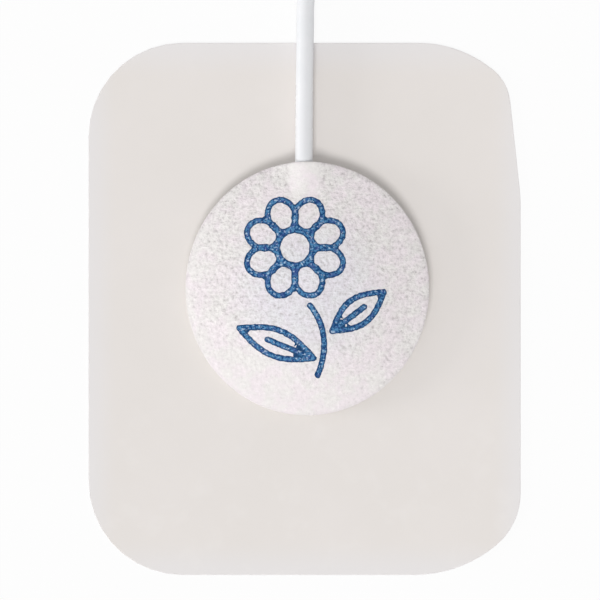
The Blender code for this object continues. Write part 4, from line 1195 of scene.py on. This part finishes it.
def make_floor():
    """White ground that keeps the electrode's shadow."""
    bm = bmesh.new()
    bmesh.ops.create_grid(bm, x_segments=1, y_segments=1, size=FLOOR_HALF)
    data = bpy.data.meshes.new("floor")
    bm.to_mesh(data)
    bm.free()
    ground = new_finish("white ground")
    paper = ground.node("BsdfDiffuse", {}, {"Color": FLOOR_PAPER})
    white = ground.node("Emission", {}, {"Color": WHITE, "Strength": 1.0})
    seen = seen_rays(ground)
    mixed = ground.node("MixShader", {}, {0: seen * FLOOR_WHITE_SHARE, 1: paper, 2: white})
    ground.node("OutputMaterial", {}, {"Surface": mixed})
    data.materials.append(ground.owner)
    floor = bpy.data.objects.new("floor", data)
    floor.location.z = FLOOR_Z
    bpy.context.scene.collection.objects.link(floor)


def seen_rays(finish):
    """1 for what the camera, a reflection or a clear piece shows, 0 for what lights a surface."""
    seen = finish.node("LightPath", {}, {}, "Is Camera Ray")
    for name in ("Is Glossy Ray", "Is Transmission Ray"):
        seen = seen.maths("MAXIMUM", seen, finish.node("LightPath", {}, {}, name))
    return seen


def make_sky():
    """An even pale sky that is white where it is seen."""
    sky = Finish(bpy.data.worlds.new("sky"))
    bpy.context.scene.world = sky.owner
    strength = SKY_SHARE + seen_rays(sky) * (1 - SKY_SHARE)
    light = sky.node("Background", {}, {"Color": WHITE, "Strength": strength})
    sky.node("OutputWorld", {}, {"Surface": light})


def make_lamp(name, share, azimuth, elevation, spread):
    """A wide lamp far away, towards an azimuth from +X and an elevation, in degrees."""
    lamp = bpy.data.lights.new(name, "SUN")
    lamp.energy = math.pi * share / math.sin(math.radians(elevation))
    lamp.angle = math.radians(spread)
    turn, height = math.radians(azimuth), math.radians(elevation)
    towards = Vector(
        (math.cos(turn) * math.cos(height), math.sin(turn) * math.cos(height), math.sin(height))
    )
    holder = bpy.data.objects.new(name, lamp)
    holder.rotation_euler = towards.to_track_quat("Z", "Y").to_euler()
    holder.location = towards
    bpy.context.scene.collection.objects.link(holder)


def make_camera():
    """The photograph's view: from straight above, with the lead towards the top."""
    lens = bpy.data.cameras.new("camera")
    lens.sensor_width = SENSOR_WIDTH
    lens.lens = SENSOR_WIDTH * CAMERA_HEIGHT / PHOTO_SIDE
    lens.clip_start = CLIP_START
    lens.clip_end = CLIP_END
    camera = bpy.data.objects.new("camera", lens)
    camera.location = (*PHOTO_CENTRE, CAMERA_HEIGHT)
    bpy.context.scene.collection.objects.link(camera)
    bpy.context.scene.camera = camera


make_camera()
bpy.context.scene.view_settings.view_transform = "Standard"
make_lamp("key light", **KEY_LIGHT)
make_lamp("side light", **SIDE_LIGHT)
make_sky()
make_floor()

white_pvc = insulation_finish()
white_moulding = moulding_finish()
make_tie(tie_finish())
make_connector(white_moulding)
make_relief(white_moulding)
make_lead(white_pvc)

blue_ink = ink_finish()
make_ink("ink_flower_head", "print_flower_head", flower_head_lines(), blue_ink)
make_ink("ink_stem", "print_stem", bent_line(*STEM), blue_ink)
make_ink("ink_leaf_left", "print_leaf_left", leaf_lines(*LEFT_LEAF), blue_ink)
make_ink("ink_leaf_right", "print_leaf_right", leaf_lines(*RIGHT_LEAF), blue_ink)
make_foam(foam_finish())
make_cover(nonwoven_finish())
make_gel(gel_finish())
make_liner(film_finish())

tinned = tinned_finish()
strands = strand_finish()
KEPT_NODES = {
    "sensor_disc": silver_chloride_finish(),
    "sensor_cap": tinned,
    "wire_terminal": tinned,
    "conductor_sensor_end": strands,
    "conductor_plug_end": strands,
    "contact_socket": gold_finish(),
}
for node, finish in KEPT_NODES.items():
    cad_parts[node].material_slots[0].material = finish
